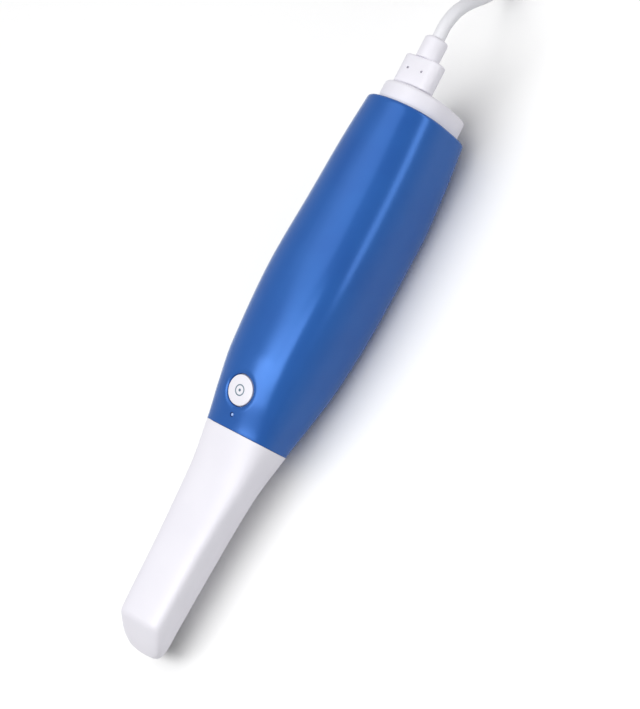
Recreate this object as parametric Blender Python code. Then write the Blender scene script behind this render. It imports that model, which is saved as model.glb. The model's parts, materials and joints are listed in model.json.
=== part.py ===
"""Intraoral scanner: a handpiece with a slide-off tip sleeve, one round button and a plug-in lead.

Run with: blender --background --python part.py

Units are metres. The handpiece is modelled along its own axis: x runs from the tip's end to the
rear, y across, and z up to the button side. The whole handpiece is then turned by REST_TILT about
Y, so that the flat stretch of its belly lies on the ground at z = 0, and it is moved so that the
middle of its footprint is the origin. The lead lies on the same ground, folded into a hank.
"""

import math

import bmesh
import bpy
from mathutils import Matrix, Vector

# Lengths along the handpiece's axis
SLEEVE_LENGTH = 0.0953
HANDLE_LENGTH = 0.1444
CAP_LENGTH = 0.0083

# How the handpiece lies: its rear is tilted up, and its axis starts at this height at the tip
REST_TILT = math.radians(2.9)
AXIS_HEIGHT = 0.01105

# Clearances and walls
GAP = 0.0003
SLEEVE_WALL = 0.0012
NOSE_WALL = 0.0014
SHELL_WALL = 0.0020
CAP_WALL = 0.0020
CAP_INSET = 0.0034
LIP_LENGTH = 0.0025
REAR_ROUND = 0.0025

# Tip sleeve: a 45 degree bevel over the mirror, and a scan window in its underside
TIP_FACE_TOP = 0.0019
TIP_CORNER_WIDTH = 0.0049
TIP_CORNER_LENGTH = 0.0135
BEVEL_SLOPE = math.tan(math.radians(45))
SCAN_WINDOW_START = 0.0034
SCAN_WINDOW_LENGTH = 0.0142
SCAN_WINDOW_WIDTH = 0.0132
SCAN_WINDOW_CORNER = 0.0016
MIRROR_LENGTH = 0.0130
MIRROR_WIDTH = 0.0120
MIRROR_THICKNESS = 0.0007

# Nose barrel, which the sleeve slides over, and the glass that closes its front
NOSE_START = 0.0220
NOSE_END_PAST_SEAM = 0.0030
WINDOW_RECESS = 0.0018
WINDOW_THICKNESS = 0.0012
GASKET_FROM_SEAM = 0.0028
GASKET_LENGTH = 0.0016
GASKET_HEIGHT = 0.0006
CATCH_LENGTH = 0.0060
CATCH_WIDTH = 0.0040
CATCH_THICKNESS = 0.0004
CATCH_FROM_SEAM = 0.0330

# Optics: a block that carries a projector barrel between two camera barrels
OPTICS_Z = 0.0040
LENS_BLOCK_LENGTH = 0.0110
LENS_BLOCK_FROM_SEAM = 0.0010
PROJECTOR_RADIUS = 0.0042
PROJECTOR_BORE = 0.0030
PROJECTOR_LENGTH = 0.0270
CAMERA_RADIUS = 0.0031
CAMERA_BORE = 0.0022
CAMERA_LENGTH = 0.0215
CAMERA_SPACING = 0.0084
LENS_THICKNESS = 0.0016
LENS_RECESS = 0.0008
SENSOR_BOARD_WIDTH = 0.0078
SENSOR_BOARD_HEIGHT = 0.0110
SENSOR_BOARD_THICKNESS = 0.0010
ENGINE_LENGTH = 0.0230
ENGINE_WIDTH = 0.0158
ENGINE_TOP = 0.0110

# Chassis: a front plate with the barrels through it, a deck, and posts under the main board
PLATE_THICKNESS = 0.0022
BARREL_PAST_PLATE = 0.0075
PLATE_WIDTH = 0.0250
PLATE_BOTTOM = -0.0015
PLATE_TOP = 0.0100
DECK_Z = -0.0036
DECK_THICKNESS = 0.0016
DECK_WIDTH = 0.0220
POST_RADIUS = 0.0024
POST_SIDE = 0.0084
POST_FROM_BOARD_END = 0.0130

# Main board, with the processor under it on a finned heat sink
BOARD_START = 0.0460
BOARD_WIDTH = 0.0216
BOARD_THICKNESS = 0.0012
PROCESSOR_SIDE = 0.0140
PROCESSOR_HEIGHT = 0.0015
SINK_LENGTH = 0.0400
SINK_FROM_POSTS = 0.0006
SINK_WIDTH = 0.0160
SINK_PLATE = 0.0025
FIN_COUNT = 5
FIN_THICKNESS = 0.0012
CHIP_LENGTH = 0.0090
CHIP_WIDTH = 0.0065
CHIP_HEIGHT = 0.0010
CHIP_PLACES = (0.0240, 0.0420, 0.0600)
CONNECTOR_LENGTH = 0.0050
CONNECTOR_HEIGHT = 0.0018
FLEX_WIDTH = 0.0026
FLEX_THICKNESS = 0.0003
SCREW_RADIUS = 0.0008
SCREW_LENGTH = 0.0050
SCREW_HEAD_RADIUS = 0.0015
SCREW_HEAD_HEIGHT = 0.0010

# Button, its switch and the indicator in front of it
BUTTON_FROM_SEAM = 0.0153
BUTTON_RADIUS = 0.0068
BUTTON_RECESS = 0.0014
BUTTON_PROUD = 0.0004
BUTTON_TRAVEL = 0.0006
FLANGE_RADIUS = 0.0077
FLANGE_TOP = 0.0034
FLANGE_THICKNESS = 0.0008
BUTTON_STEM = 0.0006
PLUNGER_RADIUS = 0.0015
PLUNGER_LENGTH = 0.0022
PLUNGER_IN_SWITCH = 0.0009
SWITCH_SIDE = 0.0060
SWITCH_HEIGHT = 0.0032
SWITCH_BORE_SPARE = 0.0005
BUTTON_BOARD_FRONT = 0.0120
BUTTON_BOARD_REAR = 0.0100
BUTTON_BOARD_WIDTH = 0.0120
BRACKET_SETBACK = 0.0010
INDICATOR_FROM_SEAM = 0.0051
INDICATOR_RADIUS = 0.0009
LED_LENGTH = 0.0016
LED_WIDTH = 0.0010
LED_HEIGHT = 0.0005

# Rear cap, its gasket and flange, and the socket behind it
CAP_FLANGE_LENGTH = 0.0022
CAP_ROUND = 0.0016
REAR_GASKET_LENGTH = 0.0007
SOCKET_Z = 0.0142
SOCKET_WIDTH = 0.0106
SOCKET_HEIGHT = 0.0046
SOCKET_WALL = 0.0006
SOCKET_LENGTH = 0.0094
SOCKET_BASE = 0.0016
TUBE_CORNER = 0.4
TONGUE_WIDTH = 0.0062
TONGUE_THICKNESS = 0.0007
TONGUE_LENGTH = 0.0050
PLUG_SHELL_WALL = 0.0004

# The lead's plug, its neck, and the lead
PLUG_LENGTH = 0.0117
PLUG_WIDTH = 0.0175
PLUG_HEIGHT = 0.0090
PLUG_CORNER = 0.0030
PLUG_EDGE = 0.0006
PIN_HOLE_RADIUS = 0.0004
PIN_HOLE_DEPTH = 0.0006
PIN_HOLE_SPACING = 0.0071
PIN_HOLE_FROM_CAP = 0.0070
NECK_RADIUS = 0.00495
NECK_LENGTH = 0.0102
NECK_CHAMFER = 0.0014
CORD_DIAMETER = 0.0055
CORD_BEVEL_RESOLUTION = 3
CORD_STEP = 0.0080

# The lead's route on the ground from the neck to the hank, chosen by eye: x, y, z
LEAD_ROUTE = (
    (0.1520, 0.0000, 0.0392),
    (0.1585, 0.0003, 0.0372),
    (0.1645, 0.0012, 0.0326),
    (0.1700, 0.0028, 0.0262),
    (0.1752, 0.0050, 0.0190),
    (0.1808, 0.0074, 0.0122),
    (0.1868, 0.0100, 0.0070),
    (0.1932, 0.0130, 0.0050),
    (0.1986, 0.0168, 0.0046),
)

# The hank: two turns side by side, four layers high, with straight runs between round ends
HANK_START = 0.1960
HANK_RUN = 0.0733
HANK_END_RADIUS = 0.01925
HANK_PITCH = 0.0056
HANK_COLUMNS = 2
HANK_LAYERS = 4
HANK_END_SIDES = 12
TIE_FROM_HANK_END = 0.0290
TIE_WIDTH = 0.0080
TIE_THICKNESS = 0.0012

# The short tail on top of the hank, and the far plug that it ends in
TAIL_LENGTH = 0.0220
END_RELIEF_LENGTH = 0.0140
END_RELIEF_RADIUS = 0.0034
END_PLUG_LENGTH = 0.0220
END_PLUG_WIDTH = 0.0124
END_PLUG_HEIGHT = 0.0068
END_PLUG_CORNER = 0.0026
END_SHELL_LENGTH = 0.0066
END_SHELL_WIDTH = 0.0083
END_SHELL_HEIGHT = 0.0025
END_SHELL_WALL = 0.0004

# Round pieces and cross-sections
SECTION_POINTS = 36
ROUND_SIDES = 24

# Where rings lie, as shares of the sleeve's length and of the handle's
SLEEVE_RINGS = (0.27, 0.435, 0.61, 0.774, 0.89)
NOSE_RINGS = (0.315, 0.435, 0.61, 0.774, 0.89)
SHELL_RINGS = (0.033, 0.074, 0.123, 0.178, 0.24, 0.31, 0.448, 0.573, 0.685, 0.767, 0.85, 0.926)
INNER_RINGS = (0.074, 0.178, 0.31, 0.448, 0.573, 0.685, 0.85)

# Places along the axis that follow from the lengths
SEAM_X = SLEEVE_LENGTH
BODY_END_X = SEAM_X + HANDLE_LENGTH
REAR_X = BODY_END_X + CAP_LENGTH
NOSE_END_X = SEAM_X + NOSE_END_PAST_SEAM
PLATE_X = NOSE_END_X + GAP
BARREL_BACK_X = PLATE_X + PLATE_THICKNESS + BARREL_PAST_PLATE
BUTTON_X = SEAM_X + BUTTON_FROM_SEAM
INDICATOR_X = SEAM_X + INDICATOR_FROM_SEAM
LENS_BLOCK_END_X = SEAM_X - LENS_BLOCK_FROM_SEAM
BOARD_X = SEAM_X + BOARD_START
BOARD_TOP_Z = SOCKET_Z - SOCKET_HEIGHT / 2 - GAP
BOARD_END_X = REAR_X - CAP_WALL - GAP

HANK_HALF_WIDTH = HANK_END_RADIUS + HANK_COLUMNS * HANK_PITCH / 2
HANK_HOLE_RADIUS = HANK_END_RADIUS - HANK_COLUMNS * HANK_PITCH / 2
HANK_CENTRE_X = HANK_START + HANK_HALF_WIDTH
HANK_BOTTOM = TIE_THICKNESS + 2 * GAP
HANK_TOP = HANK_BOTTOM + HANK_LAYERS * HANK_PITCH
TAIL_Z = HANK_TOP + TIE_THICKNESS + 2 * GAP + CORD_DIAMETER / 2
END_PLUG_Z = HANK_TOP + GAP + END_PLUG_HEIGHT / 2

# The outside, in stations: x, width, top, bottom, squareness, crown of the top, of the bottom
STATIONS = (
    (0.0, 0.0216, 0.0146, -0.0012, 3.8, 0.0, 0.0),
    (0.0131, 0.0222, 0.0146, -0.0012, 4.9, 0.0, 0.0),
    (SEAM_X * 0.435, 0.0238, 0.0146, -0.0021, 5.5, 0.0002, 0.0003),
    (SEAM_X * 0.774, 0.0285, 0.0149, -0.0034, 4.4, 0.0006, 0.0008),
    (SEAM_X, 0.0334, 0.0190, -0.0080, 3.6, 0.0015, 0.0008),
    (SEAM_X + HANDLE_LENGTH * 0.103, 0.0370, 0.0236, -0.0122, 3.2, 0.0020, 0.0003),
    (SEAM_X + HANDLE_LENGTH * 0.222, 0.0412, 0.0268, -0.0162, 3.0, 0.0020, 0.0),
    (SEAM_X + HANDLE_LENGTH * 0.454, 0.0440, 0.0280, -0.0196, 3.1, 0.0022, 0.0),
    (SEAM_X + HANDLE_LENGTH * 0.685, 0.0425, 0.0268, -0.0212, 3.2, 0.0034, 0.0),
    (SEAM_X + HANDLE_LENGTH * 0.846, 0.0403, 0.0262, -0.0200, 3.4, 0.0045, 0.0010),
    (BODY_END_X, 0.0363, 0.0252, -0.0178, 3.7, 0.0054, 0.0015),
)


def smooth_value(x, places, values):
    """The value at x of a smooth curve through the places that never overshoots them."""
    if x <= places[0]:
        return values[0]
    if x >= places[-1]:
        return values[-1]
    steps = [b - a for a, b in zip(places, places[1:])]
    slopes = [(b - a) / step for a, b, step in zip(values, values[1:], steps)]
    tangents = [slopes[0]]
    for before, after, step_before, step_after in zip(slopes, slopes[1:], steps, steps[1:]):
        if before * after <= 0:
            tangents.append(0.0)
            continue
        near = 2 * step_after + step_before
        far = step_after + 2 * step_before
        tangents.append((near + far) / (near / before + far / after))
    tangents.append(slopes[-1])
    k = max(i for i, place in enumerate(places[:-1]) if place <= x)
    t = (x - places[k]) / steps[k]
    start = (1 + 2 * t) * (1 - t) ** 2 * values[k] + t * (1 - t) ** 2 * steps[k] * tangents[k]
    end = t * t * (3 - 2 * t) * values[k + 1] + t * t * (t - 1) * steps[k] * tangents[k + 1]
    return start + end


PLACES = [station[0] for station in STATIONS]
WIDTHS, TOPS, BOTTOMS, SQUARENESS, TOP_CROWNS, BOTTOM_CROWNS = (
    [station[k] for station in STATIONS] for k in range(1, 7)
)


def belly_floor(x):
    """The height, in the handpiece's own frame, of the ground that its belly rests on."""
    return -(AXIS_HEIGHT + x * math.sin(REST_TILT)) / math.cos(REST_TILT)


def outside_top(x):
    """The crest of the outside at x, without the bevel."""
    return smooth_value(x, PLACES, TOPS)


def outside_bottom(x):
    """The lowest line of the outside at x, cut flat where it would pass the ground."""
    return max(smooth_value(x, PLACES, BOTTOMS), belly_floor(x))


def corner_pull(x, inset):
    """How far the rounded corners of the tip's end, seen from above, draw its side in at x."""
    width = max(TIP_CORNER_WIDTH - inset, GAP)
    length = TIP_CORNER_LENGTH - inset
    left = min(max((TIP_CORNER_LENGTH - x) / length, 0.0), 1.0)
    return width * (1 - math.sqrt(1 - left**2))


def section(x, inset=0.0, at=None):
    """The outline at x, drawn in by inset all round, as a ring of points placed at x or at `at`."""
    half = smooth_value(x, PLACES, WIDTHS) / 2 - inset - corner_pull(x, inset)
    bevel = BEVEL_SLOPE * x + TIP_FACE_TOP - inset * math.sqrt(1 + BEVEL_SLOPE**2)
    top = min(outside_top(x) - inset, bevel)
    bottom = outside_bottom(x) + inset
    power = 2 / smooth_value(x, PLACES, SQUARENESS)
    room = max(top - bottom, GAP)
    top_crown = min(smooth_value(x, PLACES, TOP_CROWNS), room / 4)
    bottom_crown = min(smooth_value(x, PLACES, BOTTOM_CROWNS), room / 4)
    middle = (top - top_crown + bottom + bottom_crown) / 2
    tallest = math.sin(math.pi / 2 - math.pi / SECTION_POINTS) ** power
    ring = []
    for k in range(SECTION_POINTS):
        angle = 2 * math.pi * (k + 0.5) / SECTION_POINTS
        across = math.copysign(abs(math.cos(angle)) ** power, math.cos(angle))
        up = abs(math.sin(angle)) ** power / tallest
        crown = top_crown if math.sin(angle) > 0 else bottom_crown
        reach = (top - top_crown - middle) * up + crown * up * (1 - across**2)
        z = middle + math.copysign(reach, math.sin(angle))
        ring.append(Vector((x if at is None else at, half * across, z)))
    return ring


def clear_scene():
    """Remove whatever the file holds."""
    for thing in list(bpy.data.objects):
        bpy.data.objects.remove(thing, do_unlink=True)


def material(name, colour, roughness, metallic=0.0):
    """A Principled material, made once for each name."""
    found = bpy.data.materials.get(name)
    if found:
        return found
    made = bpy.data.materials.new(name)
    made.use_nodes = True
    shader = made.node_tree.nodes["Principled BSDF"]
    shader.inputs["Base Color"].default_value = (*colour, 1.0)
    shader.inputs["Roughness"].default_value = roughness
    shader.inputs["Metallic"].default_value = metallic
    return made


def white_plastic():
    return material("white plastic", (0.83, 0.83, 0.86), 0.35)


def blue_plastic():
    return material("satin blue plastic", (0.05, 0.16, 0.45), 0.38)


def black_plastic():
    return material("black plastic", (0.02, 0.02, 0.022), 0.5)


def aluminium():
    return material("aluminium", (0.75, 0.76, 0.78), 0.35, 1.0)


def steel():
    return material("steel", (0.62, 0.62, 0.63), 0.28, 1.0)


def glass():
    return material("glass", (0.85, 0.9, 0.92), 0.05)


def board_green():
    return material("circuit board", (0.02, 0.16, 0.07), 0.5)


def rubber():
    return material("rubber", (0.03, 0.03, 0.03), 0.75)


def white_cable():
    return material("white cable jacket", (0.82, 0.82, 0.84), 0.5)


def empty(name, parent=None, place=(0, 0, 0), turn=(0, 0, 0)):
    """An empty that carries a frame of its own."""
    made = bpy.data.objects.new(name, None)
    bpy.context.collection.objects.link(made)
    made.parent = parent
    made.location = place
    made.rotation_euler = turn
    return made


def object_of(name, mesh_maker, finish, parent=None, smooth_below=35):
    """An object from a bmesh, its faces turned outward and its round faces shaded smooth."""
    bmesh.ops.recalc_face_normals(mesh_maker, faces=mesh_maker.faces)
    mesh = bpy.data.meshes.new(name)
    mesh_maker.to_mesh(mesh)
    mesh_maker.free()
    mesh.shade_smooth()
    mesh.set_sharp_from_angle(angle=math.radians(smooth_below))
    if finish:
        mesh.materials.append(finish)
    made = bpy.data.objects.new(name, mesh)
    bpy.context.collection.objects.link(made)
    made.parent = parent
    return made


def lofted(rings, joined_ends=False):
    """A bmesh skinned over rings of equal length, capped, or closed into a loop of rings."""
    made = bmesh.new()
    loops = [[made.verts.new(point) for point in ring] for ring in rings]
    pairs = list(zip(loops, loops[1:]))
    if joined_ends:
        pairs.append((loops[-1], loops[0]))
    for near, far in pairs:
        for k in range(len(near)):
            n = (k + 1) % len(near)
            made.faces.new((near[k], near[n], far[n], far[k]))
    if not joined_ends:
        made.faces.new(loops[0])
        made.faces.new(loops[-1])
    return made


def prism(outline, start, end, axis):
    """A bmesh prism: an outline of (a, b) pairs, run along x, y or z from start to end."""
    place = {
        "x": lambda a, b, c: (c, a, b),
        "y": lambda a, b, c: (a, c, b),
        "z": lambda a, b, c: (a, b, c),
    }[axis]
    return lofted([[Vector(place(a, b, c)) for a, b in outline] for c in (start, end)])


def box(x0, x1, half_width, z0, z1, y=0.0):
    """A bmesh box centred across on y."""
    outline = [(x0, z0), (x1, z0), (x1, z1), (x0, z1)]
    return prism(outline, y - half_width, y + half_width, "y")


def rounded_outline(width, height, corner, steps=4):
    """A rectangle with round corners, as (a, b) pairs around its centre."""
    outline = []
    for k, (sa, sb) in enumerate(((1, 1), (-1, 1), (-1, -1), (1, -1))):
        for step in range(steps + 1):
            angle = math.pi / 2 * (k + step / steps)
            a = sa * (width / 2 - corner) + corner * math.cos(angle)
            b = sb * (height / 2 - corner) + corner * math.sin(angle)
            outline.append((a, b))
    return outline


def rounded_ring(x, width, height, corner, z):
    """A rounded rectangle as a ring across the axis, centred at height z."""
    return [Vector((x, a, b + z)) for a, b in rounded_outline(width, height, corner)]


def circle_ring(x, radius, y=0.0, z=0.0, sides=ROUND_SIDES):
    """A circle as a ring across the axis."""
    ring = []
    for k in range(sides):
        angle = 2 * math.pi * (k + 0.5) / sides
        ring.append(Vector((x, y + radius * math.cos(angle), z + radius * math.sin(angle))))
    return ring


def rod(x0, x1, radius, y=0.0, z=0.0, sides=ROUND_SIDES):
    """A bmesh cylinder along the axis."""
    return lofted([circle_ring(x0, radius, y, z, sides), circle_ring(x1, radius, y, z, sides)])


def pipe(x0, x1, radius, bore, y=0.0, z=0.0):
    """A bmesh tube along the axis."""
    rings = [circle_ring(x0, radius, y, z), circle_ring(x1, radius, y, z)]
    rings += [circle_ring(x1, bore, y, z), circle_ring(x0, bore, y, z)]
    return lofted(rings, joined_ends=True)


def turned(profile, sides=ROUND_SIDES, x=0.0, y=0.0):
    """A bmesh turned about the z axis: (radius, z) pairs from its top pole to its bottom pole."""
    made = bmesh.new()
    top = made.verts.new((x, y, profile[0][1]))
    bottom = made.verts.new((x, y, profile[-1][1]))
    loops = []
    for radius, z in profile[1:-1]:
        loop = []
        for k in range(sides):
            angle = 2 * math.pi * (k + 0.5) / sides
            loop.append(made.verts.new((x + radius * math.cos(angle), y + radius * math.sin(angle), z)))
        loops.append(loop)
    for k in range(sides):
        n = (k + 1) % sides
        made.faces.new((top, loops[0][k], loops[0][n]))
        made.faces.new((bottom, loops[-1][n], loops[-1][k]))
        for upper, lower in zip(loops, loops[1:]):
            made.faces.new((upper[k], lower[k], lower[n], upper[n]))
    return made


def cut(target, cutter_mesh, name, parent=None):
    """Take a shape away from the target with an exact Boolean."""
    cutter = object_of(name, cutter_mesh, None, parent)
    cutter.hide_render = True
    cutter.display_type = "WIRE"
    change = target.modifiers.new(name, "BOOLEAN")
    change.operation = "DIFFERENCE"
    change.solver = "EXACT"
    change.object = cutter
    return cutter


def fuse(target, added_mesh, name, parent=None):
    """Add a shape to the target with an exact Boolean."""
    cut(target, added_mesh, name, parent)
    target.modifiers[name].operation = "UNION"


def sleeve_places():
    """Where the sleeve's rings lie: close together over the rounded end, then along the stations."""
    round_end = [TIP_CORNER_LENGTH * share for share in (0.0, 0.034, 0.134, 0.357, 0.658)]
    bevel_top = (outside_top(0) - TIP_FACE_TOP) / BEVEL_SLOPE
    middle = [bevel_top, *(SEAM_X * share for share in SLEEVE_RINGS)]
    return round_end, middle, SEAM_X - GAP / 2


def make_tip(frame):
    """The slide-off sleeve, open at its rear and at its scan window, and the mirror in it."""
    round_end, middle, end = sleeve_places()
    outer = [section(x) for x in (*round_end, *middle, end)]
    inner_top = (outside_top(0) - SLEEVE_WALL - TIP_FACE_TOP) / BEVEL_SLOPE
    inner_top += SLEEVE_WALL * math.sqrt(1 + BEVEL_SLOPE**2) / BEVEL_SLOPE
    room = TIP_CORNER_LENGTH - SLEEVE_WALL
    inner_round = [SLEEVE_WALL + room * share for share in (0.658, 0.3, 0.06)]
    inner_places = [end, *(SEAM_X * share for share in reversed(SLEEVE_RINGS))]
    inner_places.append(inner_top)
    inner = [section(x, SLEEVE_WALL) for x in (*inner_places, *inner_round)]
    sleeve = object_of("tip_sleeve", lofted(outer + inner), white_plastic(), frame)
    outline = rounded_outline(SCAN_WINDOW_LENGTH, SCAN_WINDOW_WIDTH, SCAN_WINDOW_CORNER)
    centre = SCAN_WINDOW_START + SCAN_WINDOW_LENGTH / 2
    outline = [(a + centre, b) for a, b in outline]
    floor = outside_bottom(centre)
    window = prism(outline, floor - SLEEVE_WALL, floor + 2 * SLEEVE_WALL, "z")
    cut(sleeve, window, "scan_window_cutter", frame)

    # The mirror lies along the inside of the bevel, its shiny face down to the window
    lean = math.sqrt(1 + BEVEL_SLOPE**2)
    along = Vector((1 / lean, BEVEL_SLOPE / lean))
    down = Vector((BEVEL_SLOPE / lean, -1 / lean))
    low_end = Vector((SLEEVE_WALL + 3 * GAP, 0.0))
    low_end.y = BEVEL_SLOPE * low_end.x + TIP_FACE_TOP - (SLEEVE_WALL + GAP) * lean
    corners = [low_end, low_end + along * MIRROR_LENGTH]
    corners += [point + down * MIRROR_THICKNESS for point in reversed(corners)]
    mirror = prism([tuple(point) for point in corners], -MIRROR_WIDTH / 2, MIRROR_WIDTH / 2, "y")
    object_of("tip_mirror", mirror, steel(), frame)


def make_nose(frame):
    """The barrel under the sleeve, the glass in its front, its gasket and its two spring catches."""
    outside = SLEEVE_WALL + GAP
    inside = outside + NOSE_WALL
    recess = outside + NOSE_WALL / 2
    ledge = NOSE_START + WINDOW_RECESS
    under_shell = SHELL_WALL + GAP
    places = [SEAM_X * share for share in NOSE_RINGS]
    rings = [section(x, outside) for x in (NOSE_START, *places)]
    rings += [section(SEAM_X, outside), section(SEAM_X, under_shell)]
    rings += [section(NOSE_END_X, under_shell), section(NOSE_END_X, under_shell + NOSE_WALL)]
    block_ends = (LENS_BLOCK_END_X, LENS_BLOCK_END_X - LENS_BLOCK_LENGTH)
    rings += [section(x, inside) for x in (*block_ends, *reversed(places[:-1]), ledge)]
    rings += [section(ledge, recess), section(NOSE_START, recess)]
    barrel = object_of("nose_barrel", lofted(rings, joined_ends=True), black_plastic(), frame)

    start = ledge - GAP - WINDOW_THICKNESS
    pane = [section(x, recess + GAP) for x in (start, ledge - GAP)]
    object_of("nose_window", lofted(pane), glass(), frame)

    # The gasket lies in a groove, and its top stays inside the sleeve
    middle = SEAM_X - GASKET_FROM_SEAM
    deep = outside + GASKET_HEIGHT
    groove_ends = (middle - GASKET_LENGTH / 2 - GAP, middle + GASKET_LENGTH / 2 + GAP)
    groove = [section(x, outside - GAP) for x in groove_ends]
    groove += [section(x, deep) for x in reversed(groove_ends)]
    cut(barrel, lofted(groove, joined_ends=True), "gasket_groove_cutter", frame)
    ends = (middle - GASKET_LENGTH / 2, middle + GASKET_LENGTH / 2)
    seal = [section(x, outside) for x in ends]
    seal += [section(x, deep - GAP) for x in reversed(ends)]
    object_of("nose_gasket", lofted(seal, joined_ends=True), rubber(), frame)
    make_catches(frame, barrel, outside)


def make_catches(frame, barrel, outside):
    """Two spring catches, each a leaf in a pocket of the barrel's side."""
    x1 = SEAM_X - CATCH_FROM_SEAM
    x0 = x1 - CATCH_LENGTH
    z = (outside_top(x0) + outside_bottom(x0)) / 2
    side = min(smooth_value(x, PLACES, WIDTHS) / 2 for x in (x0, x1)) - outside
    for hand, way in (("left", -1), ("right", 1)):
        y = way * (side - CATCH_THICKNESS / 2)
        leaf = box(x0, x1, CATCH_THICKNESS / 2, z - CATCH_WIDTH / 2, z + CATCH_WIDTH / 2, y)
        object_of("sleeve_catch_" + hand, leaf, steel(), frame)
        low = z - CATCH_WIDTH / 2 - GAP
        high = z + CATCH_WIDTH / 2 + GAP
        floor = side - CATCH_THICKNESS - GAP
        pocket_y = way * (floor + NOSE_WALL)
        pocket = box(x0 - GAP, x1 + GAP, NOSE_WALL, low, high, pocket_y)
        cut(barrel, pocket, "catch_pocket_cutter_" + hand, frame)


def make_optics(frame):
    """The lens block in the nose's rear, with the projector barrel and the two camera barrels."""
    inset = SLEEVE_WALL + GAP + NOSE_WALL + GAP
    x0 = LENS_BLOCK_END_X - LENS_BLOCK_LENGTH
    rings = [section(x, inset) for x in (x0, LENS_BLOCK_END_X)]
    block = object_of("lens_block", lofted(rings), aluminium(), frame)
    barrels = (
        ("projector_barrel", 0.0, PROJECTOR_RADIUS, PROJECTOR_BORE, PROJECTOR_LENGTH),
        ("camera_barrel_left", -CAMERA_SPACING, CAMERA_RADIUS, CAMERA_BORE, CAMERA_LENGTH),
        ("camera_barrel_right", CAMERA_SPACING, CAMERA_RADIUS, CAMERA_BORE, CAMERA_LENGTH),
    )
    for name, y, radius, bore, length in barrels:
        reach = rod(x0 - GAP, LENS_BLOCK_END_X + GAP, radius + GAP, y, OPTICS_Z)
        cut(block, reach, name + "_block_cutter", frame)
        start = BARREL_BACK_X - length
        object_of(name, pipe(start, BARREL_BACK_X, radius, bore, y, OPTICS_Z), black_plastic(), frame)
        lens_start = start + LENS_RECESS
        edge = bore - GAP
        lens = [circle_ring(lens_start, edge * 0.55, y, OPTICS_Z)]
        lens += [circle_ring(lens_start + LENS_THICKNESS * 0.3, edge, y, OPTICS_Z)]
        lens += [circle_ring(lens_start + LENS_THICKNESS, edge, y, OPTICS_Z)]
        object_of(name.replace("barrel", "lens"), lofted(lens), glass(), frame)
    for name, way in (("sensor_board_left", -1), ("sensor_board_right", 1)):
        x = BARREL_BACK_X + GAP
        y = way * (PROJECTOR_RADIUS + GAP + SENSOR_BOARD_WIDTH / 2)
        low = OPTICS_Z - SENSOR_BOARD_HEIGHT / 2
        high = low + SENSOR_BOARD_HEIGHT
        board = box(x, x + SENSOR_BOARD_THICKNESS, SENSOR_BOARD_WIDTH / 2, low, high, y)
        object_of(name, board, board_green(), frame)


def make_engine(frame):
    """The projector's light engine, standing on the deck behind its barrel."""
    x0 = BARREL_BACK_X + GAP + SENSOR_BOARD_THICKNESS + GAP
    engine = box(x0, x0 + ENGINE_LENGTH, ENGINE_WIDTH / 2, DECK_Z + GAP, ENGINE_TOP)
    engine = object_of("projector_engine", engine, aluminium(), frame)
    port = rod(BARREL_BACK_X + GAP, x0 + GAP, PROJECTOR_RADIUS, 0.0, OPTICS_Z)
    fuse(engine, port, "engine_port_adder", frame)
    return x0


def post_places():
    """Where the posts stand under the main board."""
    front = BOARD_X + POST_FROM_BOARD_END
    rear = BODY_END_X - LIP_LENGTH - POST_FROM_BOARD_END
    return [(x, way * POST_SIDE) for x in (front, rear) for way in (-1, 1)]


def make_chassis(frame):
    """The chassis: the plate behind the nose, the deck to the rear cap, and the board's posts."""
    deck_bottom = DECK_Z - DECK_THICKNESS
    plate_back = PLATE_X + PLATE_THICKNESS
    outline = [(PLATE_X, deck_bottom), (BOARD_END_X, deck_bottom), (BOARD_END_X, DECK_Z)]
    outline += [(plate_back, DECK_Z), (plate_back, PLATE_TOP), (PLATE_X, PLATE_TOP)]
    deck = prism(outline, -DECK_WIDTH / 2, DECK_WIDTH / 2, "y")
    chassis = object_of("chassis", deck, aluminium(), frame)
    plate = box(PLATE_X, plate_back, PLATE_WIDTH / 2, PLATE_BOTTOM, PLATE_TOP)
    fuse(chassis, plate, "chassis_plate_adder", frame)
    top = BOARD_TOP_Z - BOARD_THICKNESS - GAP
    for k, (x, y) in enumerate(post_places()):
        profile = [(0, top), (POST_RADIUS, top), (POST_RADIUS, deck_bottom), (0, deck_bottom)]
        fuse(chassis, turned(profile, 16, x, y), f"post_adder_{k}", frame)
        hole_bottom = top - SCREW_LENGTH
        hole = SCREW_RADIUS + GAP
        profile = [(0, top + GAP), (hole, top + GAP), (hole, hole_bottom), (0, hole_bottom)]
        cut(chassis, turned(profile, 12, x, y), f"post_hole_cutter_{k}", frame)
    for name, y, radius in (
        ("projector", 0.0, PROJECTOR_RADIUS),
        ("camera_left", -CAMERA_SPACING, CAMERA_RADIUS),
        ("camera_right", CAMERA_SPACING, CAMERA_RADIUS),
    ):
        hole = rod(PLATE_X - GAP, plate_back + GAP, radius + GAP, y, OPTICS_Z)
        cut(chassis, hole, name + "_plate_cutter", frame)


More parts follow.
